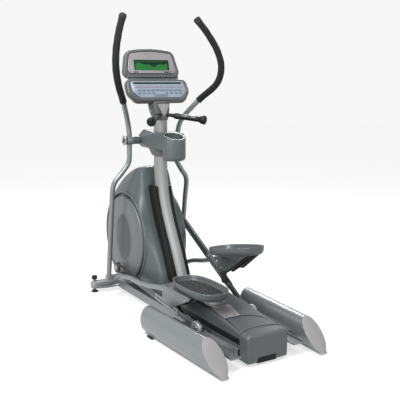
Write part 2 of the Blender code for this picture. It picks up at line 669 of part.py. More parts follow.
def build_carrier(side, sign):
    """Pedal tube with its bracket, and the tray that it carries, about the link pivot."""
    place = Vector((sign * TUBE_X, LINK_PIVOT.y, LINK_PIVOT.z))
    pitch = PEDAL_PITCH[side]
    shift = sign * TUBE_X

    def span(low, high):
        return sorted((sign * low - shift, sign * high - shift))

    path = smooth_path([(0, 0, 0), (0, -0.040, 0.020), (0, -0.085, 0.034),
                        (0, -0.140, 0.040), (0, -0.250, 0.057), (0, -0.380, 0.062),
                        (0, -0.500, 0.075), (0, -0.640, 0.101), (0, -0.700, 0.106),
                        (0, -0.820, 0.106)], 2)
    carrier = tube(path, TUBE_R)
    ends = span(TUBE_X - TUBE_R, TUBE_X + 0.0155)
    join(carrier, cylinder((ends[0], 0, 0), (ends[1], 0, 0), 0.020, 16))
    ends = span(TUBE_X, 0.2775)
    join(carrier, cylinder((ends[0], 0, 0), (ends[1], 0, 0), 0.0080, 16))
    ends = span(0.2740, 0.2790)
    join(carrier, cylinder((ends[0], 0, 0), (ends[1], 0, 0), 0.014, 16))
    low, high = span(0.140, 0.238)
    join(carrier, box((low, -0.880, 0.1185), (high, -0.662, 0.1267)))
    web = [(-0.664, 0.122), (-0.640, 0.040), (-0.652, 0.016), (-0.690, 0.016),
           (-0.712, 0.034), (-0.865, 0.122)]
    for faces in ((0.162, 0.166), (0.190, 0.194)):
        join(carrier, prism(web, *span(*faces)))
    y, z = PEDAL_PIVOT.yz
    for low, high, radius in ((0.160, 0.196, 0.0080), (0.158, 0.163, 0.013),
                              (0.193, 0.198, 0.013)):
        ends = span(low, high)
        join(carrier, cylinder((ends[0], y, z), (ends[1], y, z), radius, 16))
    piece(f"pedal_carrier_{side}", carrier, "silver_paint", place, pitch)

    centre = (sign * 0.128 - shift, -0.905)
    tray = loft([ring(centre, 0.086, 0.180, 0.127, 24, 2.8),
                 ring(centre, 0.098, 0.194, 0.142, 24, 2.8),
                 ring(centre, 0.102, 0.198, 0.172, 24, 2.8),
                 ring(centre, 0.095, 0.191, 0.172, 24, 2.8),
                 ring(centre, 0.086, 0.182, 0.142, 24, 2.8)])
    piece(f"pedal_{side}", tray, "housing_grey", place, pitch)
    mat = loft([ring(centre, 0.080, 0.176, 0.142 + GAP, 24, 2.8),
                ring(centre, 0.080, 0.176, 0.148, 24, 2.8)])
    piece(f"pedal_mat_{side}", mat, "rubber", place, pitch)


def build_rod(side, sign):
    pivot, pitch, roller, pin = linkage(side)
    middle = (ROD_X[0] + ROD_X[1]) / 2
    place = Vector((sign * middle, pivot.y, pivot.z))

    def span(low, high):
        return sorted((sign * (low - middle), sign * (high - middle)))

    def round_bar(low, high, y, z, radius, segments=14):
        ends = span(low, high)
        return cylinder((ends[0], y, z), (ends[1], y, z), radius, segments)

    level, behind = -ROD_PIVOT_RISE, -(ROD_LENGTH - ROD_PIVOT_AT)
    faces = span(*ROD_X)
    rod = box((faces[0], behind, level - 0.021), (faces[1], ROD_PIVOT_AT, level + 0.021))
    join(rod, round_bar(ROD_X[0] + 0.001, 0.198, ROD_PIVOT_AT, level, 0.033))
    join(rod, round_bar(ROD_X[0] + 0.001, ROD_X[1] + 0.001, behind, level, 0.026))
    lug = span(ROD_X[0] + 0.002, ROD_X[1] - 0.002)
    join(rod, prism([(-0.045, level), (-0.019, 0.004), (0.019, 0.004), (0.045, level)], *lug))
    join(rod, round_bar(ROD_X[0] + 0.001, ROD_X[1] - 0.001, 0, 0, 0.0205))
    cut(rod, round_bar(0.1, 0.3, 0, 0, 0.0083, 16))
    join(rod, round_bar(0.167, 0.2145, behind, level, 0.0080, 16))
    join(rod, round_bar(0.2125, 0.2140, behind, level, 0.013, 16))
    piece(f"connecting_rod_{side}", rod, "silver_paint", place, pitch)

    profile = [(0.0083, -0.0118), (0.034, -0.0118), (ROLLER_R, -0.008), (ROLLER_R, 0.008),
               (0.034, 0.0118), (0.0083, 0.0118)]
    wheel = turned(profile, (0, 0, 0), (1, 0, 0), 24)
    piece(f"roller_{side}", wheel, "light_cap", (sign * 0.2, roller.y, roller.z))


# ---- crank and drive ------------------------------------------------------------------------
def build_crank():
    centre = CRANK_CENTRE
    for side, sign in SIDES.items():
        away = (PIN_LEFT if side == "left" else PIN_RIGHT) - centre
        low, high = sorted((sign * 0.1240, sign * 0.1390))
        arm = cylinder((low, 0, 0), (high, 0, 0), 0.026, 16)
        bar = box((low + 0.002, -0.020, 0), (high - 0.002, 0.020, CRANK_RADIUS))
        bar.data.transform(Matrix.Rotation(math.atan2(-away.y, away.z), 4, "X"))
        join(arm, bar)
        join(arm, cylinder((low + 0.001, away.y, away.z), (high - 0.001, away.y, away.z),
                           0.024, 16))
        ends = sorted((sign * 0.130, sign * PIN_END))
        join(arm, cylinder((ends[0], away.y, away.z), (ends[1], away.y, away.z), PIN_R, 16))
        piece(f"crank_arm_{side}", arm, "cast_iron", centre)

        disc = turned([(DISC_R, 0.124), (DISC_R, 0.140), (DISC_R - 0.006, 0.148),
                       (DISC_R - 0.030, DISC_FACE), (0.0, DISC_FACE), (0.0, DISC_FACE - 0.004),
                       (DISC_R - 0.032, DISC_FACE - 0.004), (DISC_R - 0.009, 0.1445),
                       (DISC_R - 0.004, 0.139), (DISC_R - 0.004, 0.124)],
                      (0, 0, 0), (sign, 0, 0), 32)
        cut(disc, cylinder((-0.3, away.y, away.z), (0.3, away.y, away.z), PIN_R + 0.001, 16))
        piece(f"crank_disc_{side}", disc, "disc_grey", centre)

    shaft = cylinder((-0.1237, 0, 0), (0.1237, 0, 0), SHAFT_R, 16)
    piece("crank_shaft", shaft, "steel", centre)
    pulley = cylinder((PULLEY_X[0], 0, 0), (PULLEY_X[1], 0, 0), PULLEY_R, 36)
    cut(pulley, cylinder((0, 0, 0), (0.2, 0, 0), SHAFT_R + GAP, 16))
    piece("drive_pulley", pulley, "black_plastic", centre)


def tangent_loop(first, radius_1, second, radius_2, steps=20):
    """Outline of a belt round two circles, given in the side view."""
    run = Vector((second[0] - first[0], second[1] - first[1]))
    heading = math.atan2(run.y, run.x)
    lean = math.acos((radius_1 - radius_2) / run.length)
    outline = arc(first, radius_1, heading + lean, heading + math.tau - lean, steps)
    outline += arc(second, radius_2, heading - lean, heading + lean, steps)
    return outline


def build_drive():
    centre = CRANK_CENTRE
    fly = Vector((0, *FLYWHEEL_AT))
    post = box((-0.030, centre.y - 0.030, 0.0663), (0.030, centre.y + 0.030, centre.z))
    join(post, cylinder((-0.035, centre.y, centre.z), (0.035, centre.y, centre.z), 0.034, 32))
    cut(post, cylinder((-0.2, centre.y, centre.z), (0.2, centre.y, centre.z),
                       SHAFT_R + GAP, 16))
    piece("crank_post", post, "cast_iron")

    wheel = cylinder((FLYWHEEL_X[0], 0, 0), (FLYWHEEL_X[1], 0, 0), FLYWHEEL_R, 32)
    cut(wheel, cylinder((-0.2, 0, 0), (0.2, 0, 0), 0.0103, 20))
    piece("flywheel", wheel, "cast_iron", fly)
    axle = cylinder((-0.082, 0, 0), (0.082, 0, 0), 0.0100, 20)
    join(axle, cylinder((PULLEY_X[0], 0, 0), (PULLEY_X[1], 0, 0), SHEAVE_R, 32))
    piece("flywheel_axle", axle, "steel", fly)

    bracket = box((-0.120, fly.y - 0.060, RAIL_Z[1] + GAP), (0.120, fly.y + 0.060, 0.078))
    for low, high in ((-0.0740, -0.0685), (0.046, 0.052)):
        plate = [(fly.y - 0.045, 0.075), (fly.y + 0.045, 0.075), (fly.y + 0.020, fly.z + 0.022),
                 (fly.y - 0.020, fly.z + 0.022)]
        join(bracket, prism(plate, low, high))
    cut(bracket, cylinder((-0.2, fly.y, fly.z), (0.2, fly.y, fly.z), 0.0103, 20))
    piece("flywheel_bracket", bracket, "cast_iron")

    first, second = (centre.y, centre.z), tuple(FLYWHEEL_AT)
    inner = tangent_loop(first, PULLEY_R + BELT_CLEAR, second, SHEAVE_R + BELT_CLEAR)
    outer = tangent_loop(first, PULLEY_R + BELT_CLEAR + BELT_THICK, second,
                         SHEAVE_R + BELT_CLEAR + BELT_THICK)
    belt = prism(outer, PULLEY_X[0] + 0.001, PULLEY_X[1] - 0.001)
    cut(belt, prism(inner, 0.0, 0.2))
    piece("drive_belt", belt, "rubber")

    run = Vector((0, second[0] - first[0], second[1] - first[1]))
    lean = math.acos((PULLEY_R - SHEAVE_R) / run.length)
    normal = Vector((0, *Vector((run.y, run.z)).normalized()))
    normal = Matrix.Rotation(lean, 3, "X") @ normal
    start = centre + normal * PULLEY_R
    end = fly + normal * SHEAVE_R
    touch = start.lerp(end, 0.45) + normal * (IDLER_R + BELT_THICK + BELT_CLEAR + GAP)
    idler = cylinder((-0.007, 0, 0), (0.007, 0, 0), IDLER_R, 28)
    cut(idler, cylinder((-0.1, 0, 0), (0.1, 0, 0), 0.0063, 16))
    piece("belt_idler", idler, "steel", (0.070, touch.y, touch.z))
    stand = box((0.048, touch.y - 0.016, RAIL_Z[1] + GAP), (0.054, touch.y + 0.016, touch.z))
    join(stand, box((0.048, touch.y - 0.016, RAIL_Z[1] + GAP), (0.120, touch.y + 0.016, 0.078)))
    join(stand, cylinder((0.048, touch.y, touch.z), (0.080, touch.y, touch.z), 0.0060, 16))
    piece("idler_stand", stand, "cast_iron")

    top = fly.z + FLYWHEEL_R
    brake = box((-0.0717, fly.y - 0.030, top - 0.040), (-0.0180, fly.y + 0.030, top + 0.022))
    cut(brake, cylinder((-0.0690, fly.y, fly.z), (-0.0210, fly.y, fly.z),
                        FLYWHEEL_R + 0.004, 32))
    piece("brake_magnet", brake, "steel")


# ---- assembly -------------------------------------------------------------------------------
def build():
    build_base()
    build_pods()
    build_cover()
    build_mast()
    build_shroud()
    build_console()
    build_pulse_grips()
    build_cup_holder()
    for side, sign in SIDES.items():
        build_arm(side, sign)
        build_carrier(side, sign)
        build_rod(side, sign)
    build_crank()
    build_drive()


clear_scene()
PARTS = new_collection("elliptical_trainer")
WORKSHOP = new_collection("workshop")
MATERIALS = make_materials()
build()
bpy.context.scene.collection.children.unlink(WORKSHOP)
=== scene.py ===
"""Looks of the elliptical trainer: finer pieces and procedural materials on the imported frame.

Metres, +Z up, the user faces +Y and stands on the pedals. Side -1 is the user's left.
"""
import json
import math

import bmesh
import bpy
from mathutils import Matrix, Vector


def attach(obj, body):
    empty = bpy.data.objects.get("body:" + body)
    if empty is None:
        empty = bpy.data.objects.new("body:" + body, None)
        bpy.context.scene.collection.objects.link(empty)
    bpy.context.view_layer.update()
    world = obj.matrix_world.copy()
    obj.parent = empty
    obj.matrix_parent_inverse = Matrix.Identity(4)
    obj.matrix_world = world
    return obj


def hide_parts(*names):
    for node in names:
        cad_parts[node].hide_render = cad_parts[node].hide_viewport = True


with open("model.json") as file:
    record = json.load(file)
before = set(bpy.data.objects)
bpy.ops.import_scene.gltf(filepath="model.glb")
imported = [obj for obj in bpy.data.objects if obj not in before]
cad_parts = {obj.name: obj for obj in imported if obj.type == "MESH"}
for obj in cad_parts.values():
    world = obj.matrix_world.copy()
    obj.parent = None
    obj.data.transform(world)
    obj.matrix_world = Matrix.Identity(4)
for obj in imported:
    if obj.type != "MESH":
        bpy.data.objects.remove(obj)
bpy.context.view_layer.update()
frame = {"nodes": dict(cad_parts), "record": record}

# ---- dimensions shared with the CAD ---------------------------------------------------------
SIDES = {"left": -1, "right": 1}
POD_X, POD_Z, POD_FRONT, POD_REAR = 0.297, 0.0885, -0.136, -0.863
POD_HALF, POD_SPREAD, POD_STRIP = (0.050, 0.0745), 0.0385, 0.022
POD_SLOPE = 1.0                   # depth gained per height along the slanted pod end
MAST_LINE = [(0.1903, 0.064), (0.28, 0.105), (0.37, 0.150), (0.47, 0.206), (0.565, 0.256),
             (0.67, 0.296), (0.771, 0.316), (0.893, 0.322), (1.0, 0.321), (1.135, 0.318)]
ARM_PIVOT = Vector((0.165, 0.407, 1.013))
ARM_LINE = [(0.250, 0.292, 1.716), (0.291, 0.249, 1.640), (0.330, 0.204, 1.540),
            (0.344, 0.183, 1.440), (0.322, 0.203, 1.345), (0.254, 0.293, 1.250),
            (0.187, 0.384, 1.135), (0.166, 0.405, 1.050), (0.165, 0.409, 0.960),
            (0.165, 0.422, 0.880), (0.205, 0.436, 0.815), (0.253, 0.452, 0.745),
            (0.258, 0.476, 0.626), (0.258, 0.509, 0.408), (0.258, 0.550, 0.135)]
ARM_R, FOAM_R, FOAM_POINTS = 0.0155, 0.0200, 6
LINK = Vector((0.258, 0.550, 0.135))
TUBE_X, TUBE_R = 0.224, 0.0145
ROD_X = (0.170, 0.186)
ROD_LENGTH, ROD_PIVOT_AT, ROD_PIVOT_RISE = 1.020, 0.694, 0.040
ROLLER_Z = 0.105
PEDAL_PIVOT = Vector((0.0, -0.670, 0.036))
EDGE_STRIPS = ((0.1520, 0.1662), (0.1898, 0.2080))      # one on each side of the rod
PEDAL_PITCH = {"left": 0.0, "right": math.radians(-10.7)}
CRANK = Vector((0.0, 0.551661, 0.387659))
KEYPAD_TILT, KEYPAD_BASE = math.radians(32), Vector((0, 0.290, 1.2505))
DISPLAY_TILT, DISPLAY_BASE = math.radians(14), Vector((0, 0.410, 1.384))
CUP_Y, CUP_BORE = 0.151, 0.054
AROUND = 56                       # points round a large turned or swept shape


# ---- shapes: each is (points, faces), and shapes add up as lists ----------------------------
def skin(rings, ends=True):
    """Quads between closed rings of equally many points, with flat ends unless told otherwise."""
    count = len(rings[0])
    points = [Vector(p) for ring in rings for p in ring]
    faces = []
    for start in range(0, len(points) - count, count):
        for i in range(count):
            j = (i + 1) % count
            faces.append((start + i, start + j, start + count + j, start + count + i))
    if ends:
        faces.append(tuple(range(count)))
        faces.append(tuple(range(len(points) - count, len(points))))
    return points, faces


def add(*shapes):
    points, faces = [], []
    for more_points, more_faces in shapes:
        faces += [tuple(i + len(points) for i in face) for face in more_faces]
        points = points + list(more_points)
    return points, faces


def moved(shape, matrix):
    return [matrix @ Vector(p) for p in shape[0]], shape[1]


def mirrored(shape, sign):
    return [Vector((sign * p.x, p.y, p.z)) for p in map(Vector, shape[0])], shape[1]


def curve(points, steps=8, closed=False):
    """Points along a Catmull-Rom curve through the given points."""
    points = [Vector(p) for p in points]
    if closed:
        ends = [points[-1]] + points + points[:2]
    else:
        ends = [points[0] * 2 - points[1]] + points + [points[-1] * 2 - points[-2]]
    path = []
    for a, b, c, d in zip(ends, ends[1:], ends[2:], ends[3:]):
        for k in range(steps):
            t = k / steps
            path.append(0.5 * (2 * b + (c - a) * t + (2 * a - 5 * b + 4 * c - d) * t ** 2
                               + (3 * b - a - 3 * c + d) * t ** 3))
    return path if closed else path + [points[-1]]


def sweep(path, radius, sides=28, round_ends=0.0):
    """A round bar along a path. The radius is one number, or one for each point."""
    path = [Vector(p) for p in path]
    radii = list(radius) if isinstance(radius, (list, tuple)) else [radius] * len(path)
    if round_ends:
        first, last = (path[0] - path[1]).normalized(), (path[-1] - path[-2]).normalized()
        steps = [math.radians(90 * k / 4) for k in (1, 2, 3)]
        head = [(path[0] + first * round_ends * math.sin(a),
                 radii[0] - round_ends * (1 - math.cos(a))) for a in steps]
        tail = [(path[-1] + last * round_ends * math.sin(a),
                 radii[-1] - round_ends * (1 - math.cos(a))) for a in steps]
        path = [p for p, r in reversed(head)] + path + [p for p, r in tail]
        radii = [r for p, r in reversed(head)] + radii + [r for p, r in tail]
    heading = (path[1] - path[0]).normalized()
    across = heading.orthogonal().normalized()
    rings = []
    for i, point in enumerate(path):
        ahead = (path[min(i + 1, len(path) - 1)] - path[max(i - 1, 0)]).normalized()
        across = (across - ahead * across.dot(ahead)).normalized()
        beside = ahead.cross(across)
        rings.append([point + (across * math.cos(math.tau * k / sides)
                               + beside * math.sin(math.tau * k / sides)) * radii[i]
                      for k in range(sides)])
    return skin(rings)


def turned(profile, start, axis, sides=AROUND, closed=False):
    """Spin (radius, height) points about an axis. A closed profile makes a ring with a bore."""
    matrix = Matrix.Translation(start) @ Vector(axis).to_track_quat("Z", "Y").to_matrix().to_4x4()
    profile = list(profile) + [profile[0]] if closed else list(profile)
    rings = [[matrix @ Vector((r * math.cos(math.tau * k / sides),
                               r * math.sin(math.tau * k / sides), h)) for k in range(sides)]
             for r, h in profile]
    return skin(rings, ends=not closed)


def rod(start, end, radius, edge=0.001, sides=32):
    """A straight round bar with rounded rims."""
    start, end = Vector(start), Vector(end)
    length = (end - start).length
    profile = [(radius - edge, 0), (radius - edge * 0.3, edge * 0.3), (radius, edge),
               (radius, length - edge), (radius - edge * 0.3, length - edge * 0.3),
               (radius - edge, length)]
    return turned(profile, start, end - start, sides)


def sleeve(start, end, bore, radius, edge=0.001, sides=40):
    """A straight round bar with a bore and rounded rims."""
    start, end = Vector(start), Vector(end)
    length = (end - start).length
    profile = [(bore, 0), (radius - edge, 0), (radius, edge), (radius, length - edge),
               (radius - edge, length), (bore, length)]
    return turned(profile, start, end - start, sides, closed=True)


def prism(outline, low, high, axis="X"):
    """Extrude an outline: (y, z) points along X, (x, z) along Y, (x, y) along Z."""
    place = {"X": lambda a, b, c: (c, a, b), "Y": lambda a, b, c: (a, c, b),
             "Z": lambda a, b, c: (a, b, c)}[axis]
    return skin([[place(a, b, level) for a, b in outline] for level in (low, high)])


def block(low, high):
    return prism([(low[0], low[1]), (high[0], low[1]), (high[0], high[1]), (low[0], high[1])],
                 low[2], high[2], "Z")


def rounded(corners, steps=6):
    """Outline with rounded corners, from (x, y, radius) corners given in order."""
    outline = []
    for i, (x, y, radius) in enumerate(corners):
        here = Vector((x, y))
        before = (Vector(corners[i - 1][:2]) - here).normalized()
        after = (Vector(corners[(i + 1) % len(corners)][:2]) - here).normalized()
        if radius <= 0:
            outline.append((x, y))
            continue
        half = before.angle(after) / 2
        reach = radius / math.tan(half)
        centre = here + (before + after).normalized() * (radius / math.sin(half))
        start, end = here + before * reach - centre, here + after * reach - centre
        turn = start.angle_signed(end)
        for k in range(steps + 1):
            a = -turn * k / steps
            outline.append((centre.x + start.x * math.cos(a) - start.y * math.sin(a),
                            centre.y + start.x * math.sin(a) + start.y * math.cos(a)))
    return outline


def ring(centre, half_x, half_y, z, count=48, power=2.0):
    """A level ellipse or superellipse of points."""
    points = []
    for k in range(count):
        c, s = math.cos(math.tau * k / count), math.sin(math.tau * k / count)
        points.append((centre[0] + half_x * math.copysign(abs(c) ** (2 / power), c),
                       centre[1] + half_y * math.copysign(abs(s) ** (2 / power), s), z))
    return points


def mast_y(z):
    """Depth of the mast's centre line at a height, straight between the listed points."""
    for (z0, y0), (z1, y1) in zip(MAST_LINE, MAST_LINE[1:]):
        if z <= z1:
            return y0 + (y1 - y0) * (z - z0) / (z1 - z0)
    return MAST_LINE[-1][1]


def panel(base, tilt):
    """Matrix that stands (x, up, out) shapes on a tilted panel facing the user."""
    return Matrix.Translation(base) @ Matrix(((1, 0, 0, 0),
                                              (0, math.sin(tilt), -math.cos(tilt), 0),
                                              (0, math.cos(tilt), math.sin(tilt), 0),
                                              (0, 0, 0, 1)))


def to_object(shape, name="shape"):
    mesh = bpy.data.meshes.new(name)
    mesh.from_pydata([tuple(p) for p in shape[0]], [], shape[1])
    form = bmesh.new()
    form.from_mesh(mesh)
    bmesh.ops.remove_doubles(form, verts=form.verts, dist=2e-6)
    bmesh.ops.recalc_face_normals(form, faces=form.faces)
    form.to_mesh(mesh)
    form.free()
    item = bpy.data.objects.new(name, mesh)
    bpy.context.scene.collection.objects.link(item)
    return item


def bake(item):
    graph = bpy.context.evaluated_depsgraph_get()
    mesh = bpy.data.meshes.new_from_object(item.evaluated_get(graph))
    item.modifiers.clear()
    item.data = mesh


def boolean(item, operation, tool):
    """Boolean an object with another one, which is used up."""
    step = item.modifiers.new("step", "BOOLEAN")
    step.operation, step.solver, step.object = operation, "EXACT", tool
    bake(item)
    bpy.data.objects.remove(tool)


def carve(item, operation, *shapes):
    """Boolean each shape with an object."""
    for shape in shapes:
        boolean(item, operation, to_object(shape))
    return item


def soften(item, width, segments=3, angle=32):
    step = item.modifiers.new("soften", "BEVEL")
    step.width, step.segments = width, segments
    step.limit_method, step.angle_limit = "ANGLE", math.radians(angle)
    step.use_clamp_overlap = True
    bake(item)


def piece(name, shape, body, finish, bevel=0.0, stands_for=(), smooth=38, segments=3,
          second=None, choose=None):
    """Name, shade, colour and mount one visible piece."""
    item = shape if isinstance(shape, bpy.types.Object) else to_object(shape, name)
    if bevel:
        soften(item, bevel, segments)
    item.name = item.data.name = name
    item.data.materials.clear()
    item.data.materials.append(FINISHES[finish][0])
    if second:
        item.data.materials.append(FINISHES[second][0])
    for face in item.data.polygons:
        face.material_index = 1 if second and choose(face.center) else 0
    item.data.shade_smooth()
    item.data.set_sharp_from_angle(angle=math.radians(smooth))
    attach(item, body)
    if stands_for:
        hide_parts(*([stands_for] if isinstance(stands_for, str) else stands_for))
    return item


# ---- materials ------------------------------------------------------------------------------
def surface(name, colour, roughness, metallic=0.0, coat=0.0, sheen=0.0, variation=(9.0, 0.05),
            grain=(700.0, 0.10, 0.0002), stretch=(1, 1, 1), wander=0.06, flake=0.0,
            specular=0.5):
    """A procedural surface: soft colour drift, uneven gloss and a fine grain in the relief."""
    material = bpy.data.materials.new(name)
    material.use_nodes = True
    nodes, links = material.node_tree.nodes, material.node_tree.links
    shader = nodes["Principled BSDF"]
    shader.inputs["Metallic"].default_value = metallic
    shader.inputs["Specular IOR Level"].default_value = specular
    shader.inputs["Coat Weight"].default_value = coat
    shader.inputs["Coat Roughness"].default_value = 0.12
    shader.inputs["Sheen Weight"].default_value = sheen
    where = nodes.new("ShaderNodeTexCoord")
    mapping = nodes.new("ShaderNodeMapping")
    mapping.inputs["Scale"].default_value = stretch
    links.new(where.outputs["Object"], mapping.inputs["Vector"])

    def noise(scale, detail, source):
        made = nodes.new("ShaderNodeTexNoise")
        made.inputs["Scale"].default_value = scale
        made.inputs["Detail"].default_value = detail
        links.new(source.outputs[0 if source is mapping else "Object"], made.inputs["Vector"])
        return made

    drift = noise(variation[0], 3.0, where)
    fine = noise(grain[0], 2.0, mapping)
    tones = nodes.new("ShaderNodeMix")
    tones.data_type = "RGBA"
    amount = variation[1]
    tones.inputs["A"].default_value = (*[c * (1 - amount) for c in colour], 1)
    tones.inputs["B"].default_value = (*[min(1.0, c * (1 + amount)) for c in colour], 1)
    links.new(drift.outputs["Fac"], tones.inputs["Factor"])
    last = tones
    if flake:
        sparkle = noise(2600.0, 1.0, where)
        ramp = nodes.new("ShaderNodeMapRange")
        ramp.inputs["From Min"].default_value = 0.35
        ramp.inputs["From Max"].default_value = 0.75
        ramp.inputs["To Min"].default_value = 0.0
        ramp.inputs["To Max"].default_value = flake
        links.new(sparkle.outputs["Fac"], ramp.inputs["Value"])
        last = nodes.new("ShaderNodeMix")
        last.data_type = "RGBA"
        last.inputs["B"].default_value = (*[min(1.0, c * 1.5) for c in colour], 1)
        links.new(ramp.outputs["Result"], last.inputs["Factor"])
        links.new(tones.outputs["Result"], last.inputs["A"])
    links.new(last.outputs["Result"], shader.inputs["Base Color"])
    gloss = nodes.new("ShaderNodeMapRange")
    gloss.inputs["To Min"].default_value = max(0.03, roughness - wander)
    gloss.inputs["To Max"].default_value = min(1.0, roughness + wander)
    links.new(drift.outputs["Fac"], gloss.inputs["Value"])
    links.new(gloss.outputs["Result"], shader.inputs["Roughness"])
    relief = nodes.new("ShaderNodeBump")
    relief.inputs["Strength"].default_value = grain[1]
    relief.inputs["Distance"].default_value = grain[2]
    links.new(fine.outputs["Fac"], relief.inputs["Height"])
    links.new(relief.outputs["Normal"], shader.inputs["Normal"])
    return material


def glowing(name, colour, strength):
    """A lit display area: a faint even glow."""
    material = surface(name, colour, 0.25, specular=0.15, grain=(500.0, 0.02, 0.0001))
    shader = material.node_tree.nodes["Principled BSDF"]
    shader.inputs["Emission Color"].default_value = (*colour, 1)
    shader.inputs["Emission Strength"].default_value = strength
    return material


FINISHES = {
    "silver": (surface("silver_paint", (0.165, 0.178, 0.180), 0.34, 0.60, coat=0.12, flake=0.5,
                       grain=(260.0, 0.04, 0.0003)), "silver_paint"),
    "dark_paint": (surface("graphite_paint", (0.055, 0.062, 0.062), 0.34, 0.6, coat=0.25,
                           flake=0.4, grain=(260.0, 0.04, 0.0003)), "silver_paint"),
    "bracket": (surface("bracket_paint", (0.105, 0.114, 0.115), 0.38, 0.4, coat=0.1, flake=0.3,
                        grain=(260.0, 0.04, 0.0003)), "silver_paint"),
    "mast": (surface("satin_aluminium", (0.215, 0.218, 0.22), 0.58, 0.35,
                     grain=(420.0, 0.10, 0.0002), stretch=(1, 1, 0.02)), "aluminium"),
    "plate": (surface("brushed_aluminium", (0.30, 0.315, 0.32), 0.34, 0.6,
                      grain=(900.0, 0.16, 0.0002), stretch=(0.03, 1, 1)), "aluminium"),
    "shroud": (surface("shroud_plastic", (0.056, 0.068, 0.070), 0.46, 0.10, coat=0.04,
                       grain=(1100.0, 0.12, 0.0002)), "shroud_grey"),
    "disc": (surface("disc_plastic", (0.094, 0.104, 0.106), 0.42, 0.2, coat=0.05,
                     grain=(1100.0, 0.10, 0.0002)), "disc_grey"),
    "emblem": (surface("emblem_plastic", (0.044, 0.050, 0.051), 0.46, 0.0, specular=0.35,
                       grain=(900.0, 0.14, 0.0002)), "disc_grey"),
    "housing": (surface("housing_plastic", (0.050, 0.054, 0.056), 0.45,
                        grain=(1000.0, 0.20, 0.0003)), "housing_grey"),
    "cover": (surface("cover_plastic", (0.057, 0.063, 0.066), 0.42, 0.05,
                      grain=(1000.0, 0.16, 0.0003)), "housing_grey"),
    "faceplate": (surface("faceplate", (0.190, 0.182, 0.186), 0.36, 0.15, coat=0.10,
                          grain=(900.0, 0.05, 0.0001)), "aluminium"),
    "keys": (surface("key_membrane", (0.085, 0.112, 0.155), 0.40, grain=(800.0, 0.06, 0.0001)),
             "overlay"),
    "overlay": (surface("key_overlay", (0.170, 0.200, 0.240), 0.35, coat=0.2, variation=(30.0, 0.08),
                        grain=(700.0, 0.04, 0.0001)), "overlay"),
    "black": (surface("black_plastic", (0.0045, 0.0048, 0.005), 0.45, specular=0.18,
                      grain=(1200.0, 0.15, 0.0002)), "black_plastic"),
    "rubber": (surface("black_rubber", (0.011, 0.011, 0.012), 0.75, sheen=0.04, specular=0.3,
                       grain=(450.0, 0.35, 0.0004)), "rubber"),
    "foam": (surface("black_foam", (0.007, 0.007, 0.0075), 0.85, sheen=0.02, specular=0.2,
                     variation=(60.0, 0.30), grain=(520.0, 0.60, 0.0008)), "foam"),
    "cap": (surface("pale_cap", (0.192, 0.188, 0.191), 0.48, 0.05,
                    grain=(900.0, 0.10, 0.0002)), "light_cap"),
    "chrome": (surface("chrome", (0.42, 0.42, 0.42), 0.16, 1.0, grain=(600.0, 0.02, 0.0001)),
               "steel"),
    "steel": (surface("bright_steel", (0.33, 0.33, 0.325), 0.30, 1.0, wander=0.10,
                      grain=(900.0, 0.10, 0.0001)), "steel"),
    "iron": (surface("black_iron", (0.06, 0.06, 0.06), 0.60, 0.5, variation=(25.0, 0.25),
                     grain=(320.0, 0.30, 0.0005)), "cast_iron"),
    "screen": (glowing("screen_green", (0.010, 0.105, 0.022), 0.12), "screen"),
    "screen_dark": (surface("screen_dark", (0.003, 0.018, 0.012), 0.20, specular=0.15,
                            grain=(500.0, 0.02, 0.0001)), "screen"),
}


# ---- base -----------------------------------------------------------------------------------
def pod_middle(sign, y):
    """Sideways position of a pod's centre line, which runs outwards towards the front."""
    return sign * (POD_X + POD_SPREAD * (y - POD_REAR))


def pod_outline(growth=0.0):
    """Section of a pod about its centre line: a tall oval standing on a narrow flat strip."""
    half_x, half_z = POD_HALF[0] + growth, POD_HALF[1] + growth
    foot = math.acos((POD_STRIP + growth) / half_x)
    outline = []
    for k in range(AROUND + 1):
        a = -foot + (math.pi + 2 * foot) * k / AROUND
        outline.append((half_x * math.cos(a), half_z * math.sin(a)))
    low = 0.008 - POD_Z
    return outline + [(-POD_STRIP - growth, low), (POD_STRIP + growth, low)]


def make_pods():
    for side, sign in SIDES.items():
        def upright(y, growth=0.0):
            return [(pod_middle(sign, y) + a, y, POD_Z + b) for a, b in pod_outline(growth)]

        def slanted(start, growth=0.0, shrink=1.0):
            ring_points = []
            for a, b in pod_outline(growth):
                y = start + (POD_Z + b * shrink) * POD_SLOPE
                ring_points.append((pod_middle(sign, y) + a * shrink, y, POD_Z + b * shrink))
            return ring_points

        rear = POD_REAR - 0.008 * POD_SLOPE
        shell = [slanted(rear + 0.0045), upright(POD_FRONT - 0.03), upright(POD_FRONT)]
        piece(f"pod_shell_{side}", skin(shell), "frame", "silver", 0.0025, f"pod_{side}")
        piece(f"pod_cap_{side}", skin([slanted(rear, 0.001), slanted(rear + 0.0042, 0.001)]),
              "frame", "cap", 0.0015, f"pod_end_cap_{side}", segments=2)
        piece(f"pod_cap_panel_{side}",
              skin([slanted(rear - 0.0006, 0.0, 0.84), slanted(rear + 0.0012, 0.0, 0.86)]),
              "frame", "cap", 0.0004, segments=2)
        x = pod_middle(sign, POD_FRONT)
        plug = []
        for depth, size in ((-0.012, 0.94), (0.0028, 0.94), (0.0040, 0.90), (0.0046, 0.80)):
            plug.append([(x + a, POD_FRONT + depth, b) for a, b, _ in
                         ring((0, POD_Z), POD_HALF[0] * size, POD_HALF[1] * size, 0, 64)])
        piece(f"pod_front_plug_{side}", skin(plug), "frame", "black")
        x = pod_middle(sign, -0.195)
        pad = prism(rounded([(x - 0.030, -0.225, 0.008), (x + 0.030, -0.225, 0.008),
                             (x + 0.030, -0.165, 0.008), (x - 0.030, -0.165, 0.008)]),
                    0.0, 0.0077, "Z")
        piece(f"pod_pad_{side}", pad, "frame", "rubber", 0.0015, f"pod_foot_{side}")


